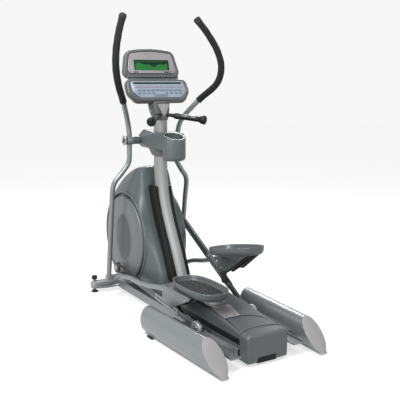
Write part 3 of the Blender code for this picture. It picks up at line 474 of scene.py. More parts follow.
def cover_section(y, top, half=0.118, low=0.0726, corner=0.016):
    """Section of the centre cover: rounded top corners and a channel along each side."""
    outline = []
    for s in (-1, 1):
        side = [(half, low), (half, 0.088), (half - 0.007, 0.091), (half - 0.007, 0.117),
                (half, 0.120), (half, top - corner)]
        arcs = [(half - corner + corner * math.cos(math.radians(a)),
                 top - corner + corner * math.sin(math.radians(a))) for a in range(15, 91, 15)]
        side += arcs
        if s > 0:
            side.reverse()
        outline += [(s * a, y, b) for a, b in side]
    return outline


def make_cover():
    tops = [(-0.7197, 0.157), (-0.62, 0.170), (-0.52, 0.183), (-0.42, 0.196), (-0.32, 0.203),
            (-0.22, 0.2095), (-0.12, 0.214), (-0.05, 0.212), (-0.022, 0.208), (-0.012, 0.198)]
    rings = [cover_section(point.x, point.y) for point in
             curve([(y, z, 0) for y, z in tops], 3)]
    # The faces inside each side channel take the black finish: painted shade in the recess.
    piece("centre_cover_shell", skin(rings), "frame", "cover", 0.0015, "centre_cover",
          segments=2, second="black",
          choose=lambda c: abs(c.x) < 0.1175 and 0.086 < c.z < 0.122 and c.y > -0.715)

    outline = rounded([(-0.122, 0.012, 0.012), (-0.122, 0.157, 0.022), (0.122, 0.157, 0.022),
                       (0.122, 0.012, 0.012)][::-1])
    rings = [[(a, -0.7203, b) for a, b in outline], [(a, -0.765, b) for a, b in outline],
             [(a, -0.780, b) for a, b in outline]]
    for depth, inset in ((0.788, 0.0035), (0.7915, 0.0085), (0.792, 0.014)):
        scale_x, scale_z = 1 - inset / 0.122, 1 - inset / 0.0725
        rings.append([(a * scale_x, -depth, 0.0845 + (b - 0.0845) * scale_z)
                      for a, b in outline])
    piece("rear_cap_shell", skin(rings), "frame", "cover", 0.0, "rear_end_cap")
    # A flat black plate just proud of the rear cap: painted shade standing for the inside of a slot.
    slot_shade = prism(rounded([(-0.065, 0.0120, 0.001), (0.050, 0.0120, 0.001),
                            (0.046, 0.042, 0.006), (-0.061, 0.042, 0.006)]),
                   -0.7926, -0.780, "Y")
    piece("rear_cap_slot_shade", slot_shade, "frame", "black", 0.001)
    seam = curve([(-0.119, -0.7240, 0.1400), (-0.1135, -0.7215, 0.1540), (-0.090, -0.716, 0.1580),
                  (-0.040, -0.704, 0.1594), (0.040, -0.704, 0.1594), (0.090, -0.716, 0.1580),
                  (0.1135, -0.7215, 0.1540), (0.119, -0.7240, 0.1400)], 6)
    piece("rear_cap_seam", sweep(seam, 0.0016, 10), "frame", "black")

    slope = (0.196 - 0.157) / (0.7197 - 0.42)
    tilt = Matrix.Translation((0, -0.49, 0.1794 + 0.06 * slope + 0.0004)) @ Matrix.Rotation(
        math.atan(slope), 4, "X")
    plate = prism(rounded([(-0.104, -0.072, 0.006), (-0.012, -0.074, 0.006),
                           (0.008, 0.064, 0.006), (-0.104, 0.064, 0.006)]), -0.001, 0.003, "Z")
    piece("cover_badge_plate", moved(plate, tilt), "frame", "faceplate", 0.0008, "cover_plate")
    screws = [turned([(0.0001, 0.0022), (0.003, 0.0020), (0.0042, 0.0012), (0.0046, 0.0),
                      (0.0001, 0.0)], (x, -0.055, 0.0028), (0, 0, 1), 24) for x in (-0.084, -0.036)]
    piece("cover_screws", moved(add(*screws), tilt), "frame", "black")
    seams = [sweep(curve(line, 6), 0.0012, 8) for line in
             ([(-0.104, -0.079, 0.0008), (-0.106, -0.110, 0.0008), (-0.108, -0.160, -0.0008),
               (-0.111, -0.222, -0.0034)],
              [(-0.012, -0.080, 0.0008), (0.040, -0.094, 0.0008), (0.088, -0.140, 0.0),
               (0.106, -0.222, -0.0034)],
              [(-0.104, -0.078, 0.0008), (-0.058, -0.079, 0.0008), (-0.012, -0.080, 0.0008)])]
    piece("cover_panel_seams", moved(add(*seams), tilt), "frame", "black")
    foot = prism(rounded([(-0.100, -0.712, 0.010), (0.100, -0.712, 0.010),
                          (0.100, -0.672, 0.010), (-0.100, -0.672, 0.010)]), 0.0, 0.0215, "Z")
    piece("rear_foot_pad", foot, "frame", "rubber", 0.003, "rear_foot")


def make_stabiliser():
    y, z, radius, half = 0.735, 0.047, 0.028, 0.305
    piece("stabiliser_tube", rod((-half + 0.014, y, z), (half - 0.014, y, z), radius, 0.001, 48),
          "frame", "silver", 0, "front_stabiliser")
    for side, sign in SIDES.items():
        cap = turned([(0.0001, 0.0145), (0.012, 0.014), (0.021, 0.0115), (0.026, 0.007),
                      (0.0285, 0.0), (0.0285, -0.012), (0.0001, -0.012)],
                     (sign * (half - 0.0145), y, z), (sign, 0, 0), 48)
        piece(f"stabiliser_cap_{side}", cap, "frame", "cap")
        brace = curve([(sign * 0.262, 0.707, 0.032), (sign * 0.200, 0.700, 0.031),
                       (sign * 0.160, 0.694, 0.033), (sign * 0.128, 0.680, 0.040)], 6)
        piece(f"stabiliser_brace_{side}", sweep(brace, 0.0085, 20, 0.003), "frame", "silver")
        x = sign * 0.280
        base = turned([(0.0001, 0), (0.0205, 0), (0.0228, 0.0015), (0.023, 0.004),
                       (0.0205, 0.008), (0.012, 0.0125), (0.0062, 0.0145), (0.0058, 0.020),
                       (0.0058, 0.086), (0.0001, 0.086)], (x, y, 0), (0, 0, 1), 40)
        knob = []
        for height, size in ((0.084, 0.82), (0.0865, 0.97), (0.090, 1.0), (0.102, 1.0),
                             (0.1065, 0.95), (0.1095, 0.78), (0.110, 0.45)):
            knob.append([(x + 0.0178 * size * (1 + 0.07 * math.cos(8 * a)) * math.cos(a),
                          y + 0.0178 * size * (1 + 0.07 * math.cos(8 * a)) * math.sin(a),
                          height) for a in (math.tau * k / 64 for k in range(64))])
        piece(f"leveller_{side}", add(base, skin(knob)), f"levelling_foot_{side}", "rubber",
              0, f"levelling_foot_{side}")


# ---- mast and housings ----------------------------------------------------------------------
def make_mast():
    levels = [Vector((0, y, z)) for z, y in MAST_LINE]
    line = curve(levels, 6)
    rings = [ring((0, p.y), 0.035, 0.052, p.z, 48, 2.15) for p in line]
    piece("mast_tube", skin(rings), "frame", "mast", 0, "mast")
    track = [p for p in line if p.z < 0.752]
    for side, sign in SIDES.items():
        sections = []
        for p in track:
            y = p.y
            corners = [(0.0345, y - 0.020), (0.0500, y - 0.019), (0.0575, y - 0.016),
                       (0.0600, y - 0.010), (0.0600, y + 0.0552), (0.0345, y + 0.0552)]
            sections.append([(sign * a, b, max(p.z, 0.2005)) for a, b in corners])
        piece(f"mast_side_trim_{side}", skin(sections), "frame", "black", 0.0008,
              f"mast_trim_{side}", segments=2)


def shroud_outline():
    front = mast_y(0.2) + 0.0605
    rear = [(mast_y(z) + 0.0605, z) for z in (0.20, 0.28, 0.37, 0.47, 0.565, 0.67, 0.77)]
    shape = [(front + 0.006, 0.094)] + rear
    shape += [(0.392, 0.822), (0.420, 0.846), (0.470, 0.842), (0.560, 0.808), (0.660, 0.755),
              (0.750, 0.685), (0.812, 0.600), (0.850, 0.500), (0.862, 0.400), (0.850, 0.300),
              (0.810, 0.200), (0.740, 0.120), (0.650, 0.094), (0.520, 0.094), (0.300, 0.094)]
    return [(p.x, p.y) for p in curve([(y, z, 0) for y, z in shape], 5, closed=True)]


def shroud_ring(x, blend, radius):
    points = []
    for y, z in shroud_outline():
        away = Vector((0, y - CRANK.y, z - CRANK.z))
        place = Vector((0, y, z)).lerp(CRANK + away.normalized() * radius, blend)
        points.append((x, place.y, max(place.z, 0.0940)))
    return points


def make_shrouds():
    profile = [(0.0003, 0.0), (0.004, 0.0), (0.030, 0.0), (0.052, 0.004), (0.056, 0.008),
               (0.086, 0.045), (0.0905, 0.062), (0.0935, 0.090), (0.104, 0.235),
               (0.1145, 0.420), (0.1235, 0.630), (0.1300, 0.820), (0.1335, 0.960)]
    for side, sign in SIDES.items():
        rings = [shroud_ring(x, blend, 0.292) for x, blend in profile]
        rings += [shroud_ring(0.1340, 1.0, r) for r in (0.2915, 0.2820)]
        rings += [shroud_ring(x, 1.0, r) for x, r in ((0.1330, 0.2805), (0.1205, 0.2785),
                                                       (0.1200, 0.2760), (0.1200, 0.0340))]
        shell = to_object(mirrored(skin(rings, ends=False), sign))
        widest = max(shell.data.polygons, key=lambda face: sign * face.center.x)
        if widest.normal.x * sign < 0:
            shell.data.flip_normals()
        wall = shell.modifiers.new("wall", "SOLIDIFY")
        wall.thickness, wall.offset = 0.0025, -1
        bake(shell)
        piece(f"shroud_shell_{side}", shell, "frame", "shroud", 0, f"shroud_{side}", smooth=24)
        lip = turned([(0.2825, 0.1335), (0.2825, 0.1400), (0.2845, 0.1425), (0.2880, 0.1430),
                      (0.2915, 0.1415), (0.2925, 0.1335)], (0, CRANK.y, CRANK.z),
                     (sign, 0, 0), 96, closed=True)
        piece(f"shroud_lip_{side}", lip, "frame", "disc")


def make_shroud_seam():
    outline = [(y, z) for y, z in shroud_outline() if z > 0.110]
    start = min(range(len(outline)), key=lambda i: outline[i][1] + 0.5 * outline[i][0])
    outline = outline[start:] + outline[:start]
    seam = [(0, y, z) for y, z in outline if z > 0.78 or y > CRANK.y]
    piece("shroud_seam", sweep(seam, 0.0016, 8), "frame", "black")


def make_discs():
    pins = {"left": (0.574973, 0.186752), "right": (0.528350, 0.588566)}
    for side, sign in SIDES.items():
        centre, axis = (0, CRANK.y, CRANK.z), (sign, 0, 0)
        face = [(0.0001, 0.1500), (0.190, 0.1500), (0.215, 0.1496), (0.2320, 0.1488),
                (0.2370, 0.1470), (0.2405, 0.1470), (0.2440, 0.1490), (0.2520, 0.1486),
                (0.2580, 0.1462), (0.2612, 0.1420), (0.2620, 0.1360), (0.2620, 0.1240),
                (0.2580, 0.1240), (0.2580, 0.1385), (0.0001, 0.1450)]
        disc = to_object(turned(face, centre, axis, 96))
        y, z = pins[side]
        carve(disc, "DIFFERENCE", rod((sign * 0.10, y, z), (sign * 0.20, y, z), 0.0142))
        piece(f"disc_{side}", disc, "crank", "disc", 0, f"crank_disc_{side}", smooth=30)
        for name, finish, size, low, high in (("rim", "disc", 1.00, 0.1496, 0.1520),
                                              ("panel", "emblem", 0.93, 0.1498, 0.1527)):
            levels = [(low, 1.0), (high - 0.0012, 1.0), (high - 0.0003, 0.992), (high, 0.978)]
            rings = [[(sign * x, a, b) for a, b, _ in
                      ring((CRANK.y, CRANK.z), 0.112 * size * scale, 0.158 * size * scale, 0, 72)]
                     for x, scale in levels]
            piece(f"emblem_{name}_{side}", skin(rings), "crank", finish)
        rings = []
        for x, scale in ((0.1525, 1.0), (0.1531, 0.98), (0.1535, 0.90)):
            rings.append([(sign * x, a, b) for a, b, _ in
                          ring((CRANK.y, CRANK.z), 0.060 * scale, 0.100 * scale, 0, 48)])
        piece(f"emblem_centre_{side}", skin(rings), "crank", "emblem")
        collar = sleeve((sign * 0.1490, y, z), (sign * 0.1555, y, z), 0.0135, 0.0220, 0.0015)
        tip = rod((sign * 0.130, y, z), (sign * 0.1678, y, z), 0.0128, 0.0015)
        piece(f"crank_pin_{side}", add(collar, tip), "crank", "steel")


# ---- console --------------------------------------------------------------------------------
def arched(bottom, top, height, arch, corner, lift=0.0, low_corner=None):
    """Outline of a console face: straight sides leaning in to an arched top."""
    low_corner = corner if low_corner is None else low_corner
    outline = rounded([(-bottom / 2, lift, low_corner), (-top / 2, lift + height, corner),
                       (top / 2, lift + height, corner), (bottom / 2, lift, low_corner)], 8)
    return [(x, y + (arch * max(0.0, 1 - (2 * x / top) ** 2) if y > lift + height * 0.6 else 0))
            for x, y in dense(outline)]


def dense(outline, longest=0.012):
    """The same outline with points added on its long straight runs."""
    points = []
    for i, (x, y) in enumerate(outline):
        after = outline[(i + 1) % len(outline)]
        run = Vector((after[0] - x, after[1] - y))
        steps = max(1, math.ceil(run.length / longest))
        points += [(x + run.x * k / steps, y + run.y * k / steps) for k in range(steps)]
    return points


def shrunk(outline, amount):
    """The outline drawn in by about the same amount all round."""
    xs, ys = [p[0] for p in outline], [p[1] for p in outline]
    middle = ((min(xs) + max(xs)) / 2, (min(ys) + max(ys)) / 2)
    scale_x = 1 - 2 * amount / (max(xs) - min(xs))
    scale_y = 1 - 2 * amount / (max(ys) - min(ys))
    return [(middle[0] + (x - middle[0]) * scale_x, middle[1] + (y - middle[1]) * scale_y)
            for x, y in outline]


def shell_rings(outline, levels):
    """Rings of an outline at (height, inset) levels."""
    return [[(x, y, h) for x, y in shrunk(outline, inset)] for h, inset in levels]


def make_display():
    stand = panel(DISPLAY_BASE, DISPLAY_TILT)
    outline = arched(0.390, 0.318, 0.163, 0.016, 0.038)
    levels = [(-0.045, 0.016), (-0.0435, 0.008), (-0.038, 0.002), (-0.028, 0.0), (-0.008, 0.0),
              (-0.002, 0.002), (0.0015, 0.006), (0.0030, 0.011), (0.0026, 0.016),
              (0.0002, 0.020), (-0.0010, 0.0215)]
    piece("display_shell", moved(skin(shell_rings(outline, levels)), stand), "frame",
          "housing", 0, "display_housing", smooth=50)
    outline = arched(0.334, 0.280, 0.118, 0.013, 0.022, 0.026)
    plate = to_object(moved(skin(shell_rings(outline, [(-0.0012, 0.0), (0.0030, 0.0),
                                                       (0.0040, 0.0015)])), stand))
    window = rounded([(-0.118, 0.044, 0.004), (-0.118, 0.108, 0.004), (0.118, 0.108, 0.004),
                      (0.118, 0.044, 0.004)])
    carve(plate, "DIFFERENCE", moved(prism(window, -0.02, 0.02, "Z"), stand))
    piece("display_plate", plate, "frame", "faceplate", 0, "display_faceplate", smooth=30)
    glass = moved(prism([(-0.1178, 0.0442), (0.1178, 0.0442), (0.1178, 0.1078),
                         (-0.1178, 0.1078)], -0.0010, 0.0012, "Z"), stand)
    piece("display_glass", glass, "frame", "screen_dark", 0.0003, "display_screen")
    lit, columns = [], 36
    for k in range(columns):
        left = -0.108 + 0.216 * k / columns
        t = k / (columns - 1)
        top = 0.079 + 0.0085 * math.sin(7.3 * t + 0.6) + 0.004 * math.sin(19.0 * t)
        lit.append(block((left, 0.0465, 0.0010), (left + 0.0054, top, 0.0016)))
    piece("display_profile", moved(add(*lit), stand), "frame", "screen")
    bar = moved(add(*[block((-0.108 + 0.0222 * k, 0.0975, 0.0010),
                            (-0.0905 + 0.0222 * k, 0.1005, 0.0016)) for k in range(10)]), stand)
    piece("display_gauge", bar, "frame", "screen")
    hood = curve([(-0.165, 0.004, 0.004), (-0.080, 0.0035, 0.0105), (0.0, 0.0030, 0.0125),
                  (0.080, 0.0035, 0.0105), (0.165, 0.004, 0.004)], 6)
    piece("display_lower_lip", moved(sweep(hood, 0.0090, 20, 0.005), stand), "frame", "housing")
    buttons = [turned([(0.0001, 0.0035), (0.003, 0.0034), (0.0042, 0.0022), (0.0046, 0.0),
                       (0.0001, 0.0)], (x, 0.0335, 0.0040), (0, 0, 1), 20)
               for x in (-0.118, -0.102, 0.086, 0.102, 0.118)]
    piece("display_sensors", moved(add(*buttons), stand), "frame", "black")


def make_keypad():
    stand = panel(KEYPAD_BASE, KEYPAD_TILT)
    outline = dense(rounded([(-0.162, 0.0, 0.035), (-0.207, 0.062, 0.050),
                             (-0.204, 0.152, 0.034), (0.204, 0.152, 0.034),
                             (0.207, 0.062, 0.050), (0.162, 0.0, 0.035)], 8))
    levels = [(-0.055, 0.026), (-0.052, 0.014), (-0.044, 0.005), (-0.034, 0.001),
              (-0.020, 0.0), (-0.010, 0.0005), (-0.003, 0.004), (0.0008, 0.010),
              (0.0012, 0.017), (-0.0012, 0.021), (-0.0020, 0.023)]
    piece("keypad_shell", moved(skin(shell_rings(outline, levels)), stand), "frame",
          "housing", 0, "keypad_housing", smooth=50)
    face = dense(rounded([(-0.137, 0.022, 0.020), (-0.179, 0.062, 0.030),
                          (-0.176, 0.132, 0.016), (0.176, 0.132, 0.016),
                          (0.179, 0.062, 0.030), (0.137, 0.022, 0.020)], 6))
    piece("keypad_face", moved(skin(shell_rings(face, [(-0.0022, 0.0), (0.0008, 0.0),
                                                       (0.0014, 0.001)])), stand),
          "frame", "overlay", 0, "keypad_overlay")
    strip = prism(rounded([(-0.162, 0.1130, 0.004), (0.162, 0.1130, 0.004),
                           (0.162, 0.1250, 0.004), (-0.162, 0.1250, 0.004)][::-1]),
                  0.0010, 0.0024, "Z")
    piece("keypad_readout", moved(strip, stand), "frame", "screen_dark", 0.0004)
    band = prism(rounded([(-0.158, 0.0865, 0.003), (0.158, 0.0865, 0.003),
                          (0.158, 0.1075, 0.003), (-0.158, 0.1075, 0.003)][::-1]),
                 0.0010, 0.0021, "Z")
    piece("keypad_band", moved(band, stand), "frame", "faceplate", 0.0003)
    small, big = [], []
    for k in range(12):
        x = -0.143 + 0.026 * k
        small.append(key_cap(x, 0.1010, 0.0190, 0.0085, 0.0034))
        small.append(key_cap(x, 0.0915, 0.0190, 0.0060, 0.0034))
    for k in range(10):
        x = -0.135 + 0.030 * k
        big.append(key_cap(x, 0.0700, 0.0235, 0.0120, 0.0032))
        if abs(x) > 0.040:
            big.append(key_cap(x, 0.0500, 0.0200, 0.0100, 0.0032))
    big.append(key_cap(0.0, 0.0345, 0.0900, 0.0140, 0.0034))
    piece("keypad_small_keys", moved(add(*small), stand), "frame", "overlay", 0.0003)
    piece("keypad_large_keys", moved(add(*big), stand), "frame", "keys", 0.0003)


def key_cap(x, y, width, height, top):
    corner = min(width, height) * 0.28
    outline = rounded([(x - width / 2, y - height / 2, corner),
                       (x - width / 2, y + height / 2, corner),
                       (x + width / 2, y + height / 2, corner),
                       (x + width / 2, y - height / 2, corner)], 3)
    return prism(outline, 0.0010, top, "Z")


def make_neck():
    def behind(base, tilt, up, back):
        spot = base + Vector((0, math.sin(tilt), math.cos(tilt))) * up
        spot += Vector((0, math.cos(tilt), -math.sin(tilt))) * back
        return (spot.y, spot.z)

    key, show = (KEYPAD_BASE, KEYPAD_TILT), (DISPLAY_BASE, DISPLAY_TILT)
    rings = [ring((0, 0.320), 0.0375, 0.0525, 1.1353, 48, 2.4),
             ring((0, 0.3205), 0.0405, 0.0530, 1.1400, 48, 2.5),
             ring((0, 0.326), 0.0490, 0.0530, 1.165, 48, 2.9),
             ring((0, 0.333), 0.0545, 0.0530, 1.190, 48, 3.3),
             ring((0, 0.3425), 0.0610, 0.0530, 1.245, 48, 3.8),
             ring((0, 0.352), 0.0670, 0.0530, 1.300, 48, 4.0)]
    neck = to_object(skin(rings))
    room = moved(block((-0.3, -0.001, -0.0545), (0.3, 0.3, 0.3)),
                 panel(KEYPAD_BASE, KEYPAD_TILT))
    carve(neck, "DIFFERENCE", room)
    piece("neck_column", neck, "frame", "housing", 0.002, "console_neck")
    spine = [behind(*key, 0.030, 0.0545), behind(*key, 0.150, 0.0545),
             behind(*show, -0.001, 0.0445), behind(*show, 0.110, 0.0445),
             behind(*show, 0.112, 0.058), behind(*show, 0.100, 0.068),
             behind(*show, 0.050, 0.0745), behind(*show, 0.000, 0.0760),
             behind(*key, 0.100, 0.0990), behind(*key, 0.060, 0.1000),
             behind(*key, 0.036, 0.0900)]
    piece("neck_back_shell", prism(spine, -0.105, 0.105), "frame", "housing", 0.008,
          segments=4, smooth=45)
    bridge = [behind(*key, 0.140, 0.010), behind(*key, 0.150, 0.006),
              behind(*show, 0.006, 0.004), behind(*show, 0.012, 0.030),
              behind(*key, 0.120, 0.035)]
    piece("neck_bridge", prism(bridge, -0.158, 0.158), "frame", "housing", 0.002, segments=2)
    rear = 0.3315 - 0.0530
    badge = skin([[(x * k, y, z) for x, z in badge_outline()]
                  for k, y in ((1.0, rear + 0.004), (1.0, rear - 0.004), (0.96, rear - 0.0048))])
    piece("neck_badge", badge, "frame", "faceplate")
    bolt = turned([(0.0001, 0.004), (0.004, 0.0036), (0.0060, 0.0015), (0.0064, -0.002),
                   (0.0001, -0.002)], (-0.0535, 0.333, 1.190), (-1, 0, 0), 24)
    piece("neck_bolt", bolt, "frame", "steel")


def badge_outline():
    return rounded([(-0.040, 1.2300, 0.003), (0.040, 1.2300, 0.003), (0.006, 1.1480, 0.003)], 4)


def make_pulse_grips():
    bend = [(-0.158, 0.118, 1.142), (-0.060, 0.240, 1.160), (-0.030, 0.2565, 1.165),
            (0.030, 0.2565, 1.165), (0.060, 0.240, 1.160), (0.158, 0.118, 1.142)]
    bar = [bend[0], bend[1], (-0.036, 0.270, 1.165), (0.0, 0.290, 1.167),
           (0.036, 0.270, 1.165), bend[4], bend[5]]
    piece("pulse_bar", sweep(curve(bar, 8), 0.0112, 24), "frame", "black", 0,
          "pulse_grip_bar")
    for side, sign in SIDES.items():
        end, start = Vector(bend[-1]), Vector(bend[-2])
        run = (end - start).normalized()
        run.x, end.x, start.x = run.x * sign, end.x * sign, start.x * sign
        length = (end - start).length
        profile = [(0.0112, -0.008), (0.0150, -0.007), (0.0174, -0.002), (0.0178, 0.008),
                   (0.0168, 0.024), (0.0160, length * 0.5), (0.0164, length - 0.012),
                   (0.0185, length - 0.002), (0.0235, length + 0.008),
                   (0.0262, length + 0.018), (0.0268, length + 0.025),
                   (0.0250, length + 0.032), (0.0190, length + 0.0358),
                   (0.0001, length + 0.0368)]
        piece(f"pulse_handle_{side}", turned(profile, start, run, 40), "frame", "black", 0,
              f"pulse_grip_{side}")
        up = Vector((0, 0, 1)) - run * run.z
        up.normalize()
        beside = run.cross(up)
        plates = []
        for low, high in ((0.034, 0.080), (0.086, 0.132)):
            rings = []
            for along, lift in ((low, 0.0), (low + 0.002, 0.0008), (high - 0.002, 0.0008),
                                (high, 0.0)):
                arcs = []
                for r in (0.0164 + lift, 0.0148):
                    angles = range(-70, 71, 10) if r > 0.0155 else range(70, -71, -10)
                    arcs += [start + run * along + (up * math.cos(math.radians(a))
                             + beside * math.sin(math.radians(a))) * r for a in angles]
                rings.append(arcs)
            plates.append(skin(rings))
        piece(f"pulse_plates_{side}", add(*plates), "frame", "dark_paint")


def make_cup_holder():
    y, z = ARM_PIVOT.y, ARM_PIVOT.z
    lean = math.tan(math.radians(16))
    body = [(0.060, CUP_Y - 0.018), (0.067, CUP_Y + 0.020), (0.067, 0.215), (0.071, 0.285),
            (0.0945, y - 0.024), (0.096, y + 0.004), (0.0945, y + 0.026), (0.070, y + 0.034)]
    outline = rounded([(a, b, 0.010) for a, b in body]
                      + [(-a, b, 0.010) for a, b in reversed(body)], 3)

    def lid(b, top):
        return min(top, 1.050 + (b - CUP_Y) * lean)

    rings = []
    for level, inset in ((z - 0.045, 0.006), (z - 0.042, 0.002), (z - 0.036, 0.0),
                         (z + 0.030, 0.0)):
        rings.append([(a, b, level) for a, b in shrunk(outline, inset)])
    for drop, inset in ((0.006, 0.0), (0.002, 0.002), (0.0, 0.006)):
        rings.append([(a, b, max(z + 0.031, lid(b, z + 0.060) - drop))
                      for a, b in shrunk(outline, inset)])
    body = to_object(skin(rings))
    cup = [(0.0001, 0.905), (0.040, 0.905), (0.053, 0.907), (0.062, 0.912), (0.0665, 0.920),
           (0.068, 0.932), (0.068, 1.0), (0.0001, 1.0)]
    cup = to_object(turned(cup, (0, CUP_Y, 0), (0, 0, 1), 64))
    top = 1.050
    for vertex in cup.data.vertices:
        if vertex.co.z > 0.99:
            vertex.co.z = top + (vertex.co.y - CUP_Y) * lean
    soften(cup, 0.003, 3, 50)
    boolean(body, "UNION", cup)
    collar = skin([ring((0, 0.3185), 0.0480, 0.0660, 0.925, 48, 2.2),
                   ring((0, 0.3185), 0.0505, 0.0685, 0.929, 48, 2.2),
                   ring((0, 0.322), 0.0560, 0.0740, 0.950, 48, 2.5),
                   ring((0, 0.330), 0.0660, 0.0850, 0.978, 48, 3.0)])
    carve(body, "UNION", collar)
    slots = [prism([(s * 0.052, z + way * 0.062), (s * 0.098, z + way * 0.016),
                    (s * 0.200, z + way * 0.016), (s * 0.200, z + way * 0.2),
                    (s * 0.052, z + way * 0.2)], 0.2, 0.6, "Y")
             for s in SIDES.values() for way in (-1, 1)]
    bore = [(0.0001, 0.925), (0.046, 0.925), (0.052, 0.929), (CUP_BORE, 0.936),
            (CUP_BORE, 1.2), (0.0001, 1.2)]
    mast = skin([ring((0, mast_y(h)), 0.0353, 0.0523, h, 48, 2.15) for h in (0.89, 1.0, 1.14)])
    carve(body, "DIFFERENCE", *slots, turned(bore, (0, CUP_Y, 0), (0, 0, 1), 64), mast,
          rod((-0.2, y, z), (0.2, y, z), 0.0123, 0.0001))
    piece("cup_moulding", body, "frame", "shroud", 0.0018, "cup_holder", smooth=40, segments=2)


# ---- moving linkage -------------------------------------------------------------------------
def make_arms():
    for side, sign in SIDES.items():
        body = f"arm_{side}"
        path = curve([(sign * x, y, z) for x, y, z in ARM_LINE], 8)
        x, y, z = sign * ARM_PIVOT.x, ARM_PIVOT.y, ARM_PIVOT.z
        eye_x, eye_y, eye_z = sign * LINK.x, LINK.y, LINK.z
        eye = sleeve((eye_x - 0.0155, eye_y, eye_z), (eye_x + 0.0155, eye_y, eye_z),
                     0.0085, 0.0222, 0.0015)
        arm = to_object(sweep(path, ARM_R, 32))
        carve(arm, "UNION", rod((sign * 0.146, y, z), (sign * 0.184, y, z), 0.0262, 0.002, 48))
        carve(arm, "DIFFERENCE", rod((-0.3, y, z), (0.3, y, z), 0.0125, 0.0001, 40),
              rod((eye_x - 0.05, eye_y, eye_z), (eye_x + 0.05, eye_y, eye_z), 0.0200, 0.0001))
        boolean(arm, "UNION", to_object(eye))
        piece(f"arm_tube_{side}", arm, body, "silver", 0, f"swing_arm_{side}", smooth=40)
        hubs = [sleeve((sign * a, y, z), (sign * b, y, z), 0.0125, r, 0.0015, 48)
                for a, b, r in ((0.0978, 0.1462, 0.0235), (0.1838, 0.1945, 0.0250))]
        piece(f"arm_hub_{side}", add(*hubs), body, "shroud")
        covered = path[:(FOAM_POINTS - 1) * 8 + 1]
        up = (covered[0] - covered[1]).normalized()
        radii = [FOAM_R + 0.0004 * math.sin(i * 1.3) for i in range(len(covered))]
        foam = piece(f"foam_{side}", sweep(covered, radii, 36, 0.0025), body, "foam", 0,
                     f"foam_grip_{side}")
        cap = turned([(0.0001, -0.010), (0.0210, -0.010), (0.0214, -0.004), (0.0216, 0.002),
                      (0.0226, 0.007), (0.0228, 0.015), (0.0215, 0.020), (0.0170, 0.0238),
                      (0.0001, 0.0250)], covered[0], up, 40)
        piece(f"foam_cap_{side}", cap, body, "rubber")
        down = (covered[-1] - covered[-2]).normalized()
        collar = turned([(0.0157, -0.004), (0.0207, -0.004), (0.0212, 0.0), (0.0205, 0.005),
                         (0.0157, 0.0065)], covered[-1], down, 36, closed=True)
        piece(f"foam_collar_{side}", collar, body, "rubber")


def make_axle():
    y, z = ARM_PIVOT.y, ARM_PIVOT.z
    shapes = [rod((-0.1965, y, z), (0.1965, y, z), 0.012, 0.0005)]
    for sign in SIDES.values():
        shapes.append(turned([(0.0001, 0.0040), (0.0150, 0.0040), (0.0175, 0.0060),
                              (0.0215, 0.0088), (0.0260, 0.0084), (0.0292, 0.0060),
                              (0.0300, 0.0030), (0.0285, 0.0), (0.0001, 0.0)],
                             (sign * 0.1962, y, z), (sign, 0, 0), 48))
    piece("axle_and_caps", add(*shapes), "frame", "chrome", 0, "arm_axle", second="black",
          choose=lambda c: abs(c.x) > 0.1985 and math.hypot(c.y - y, c.z - z) < 0.0160)


def about_link(side):
    """Matrix from a pedal's own coordinates, about its link pivot, to the frame."""
    place = Matrix.Translation((0, LINK.y, LINK.z))
    return place @ Matrix.Rotation(PEDAL_PITCH[side], 4, "X")


def spanned(sign, low, high):
    return sorted((sign * low, sign * high))


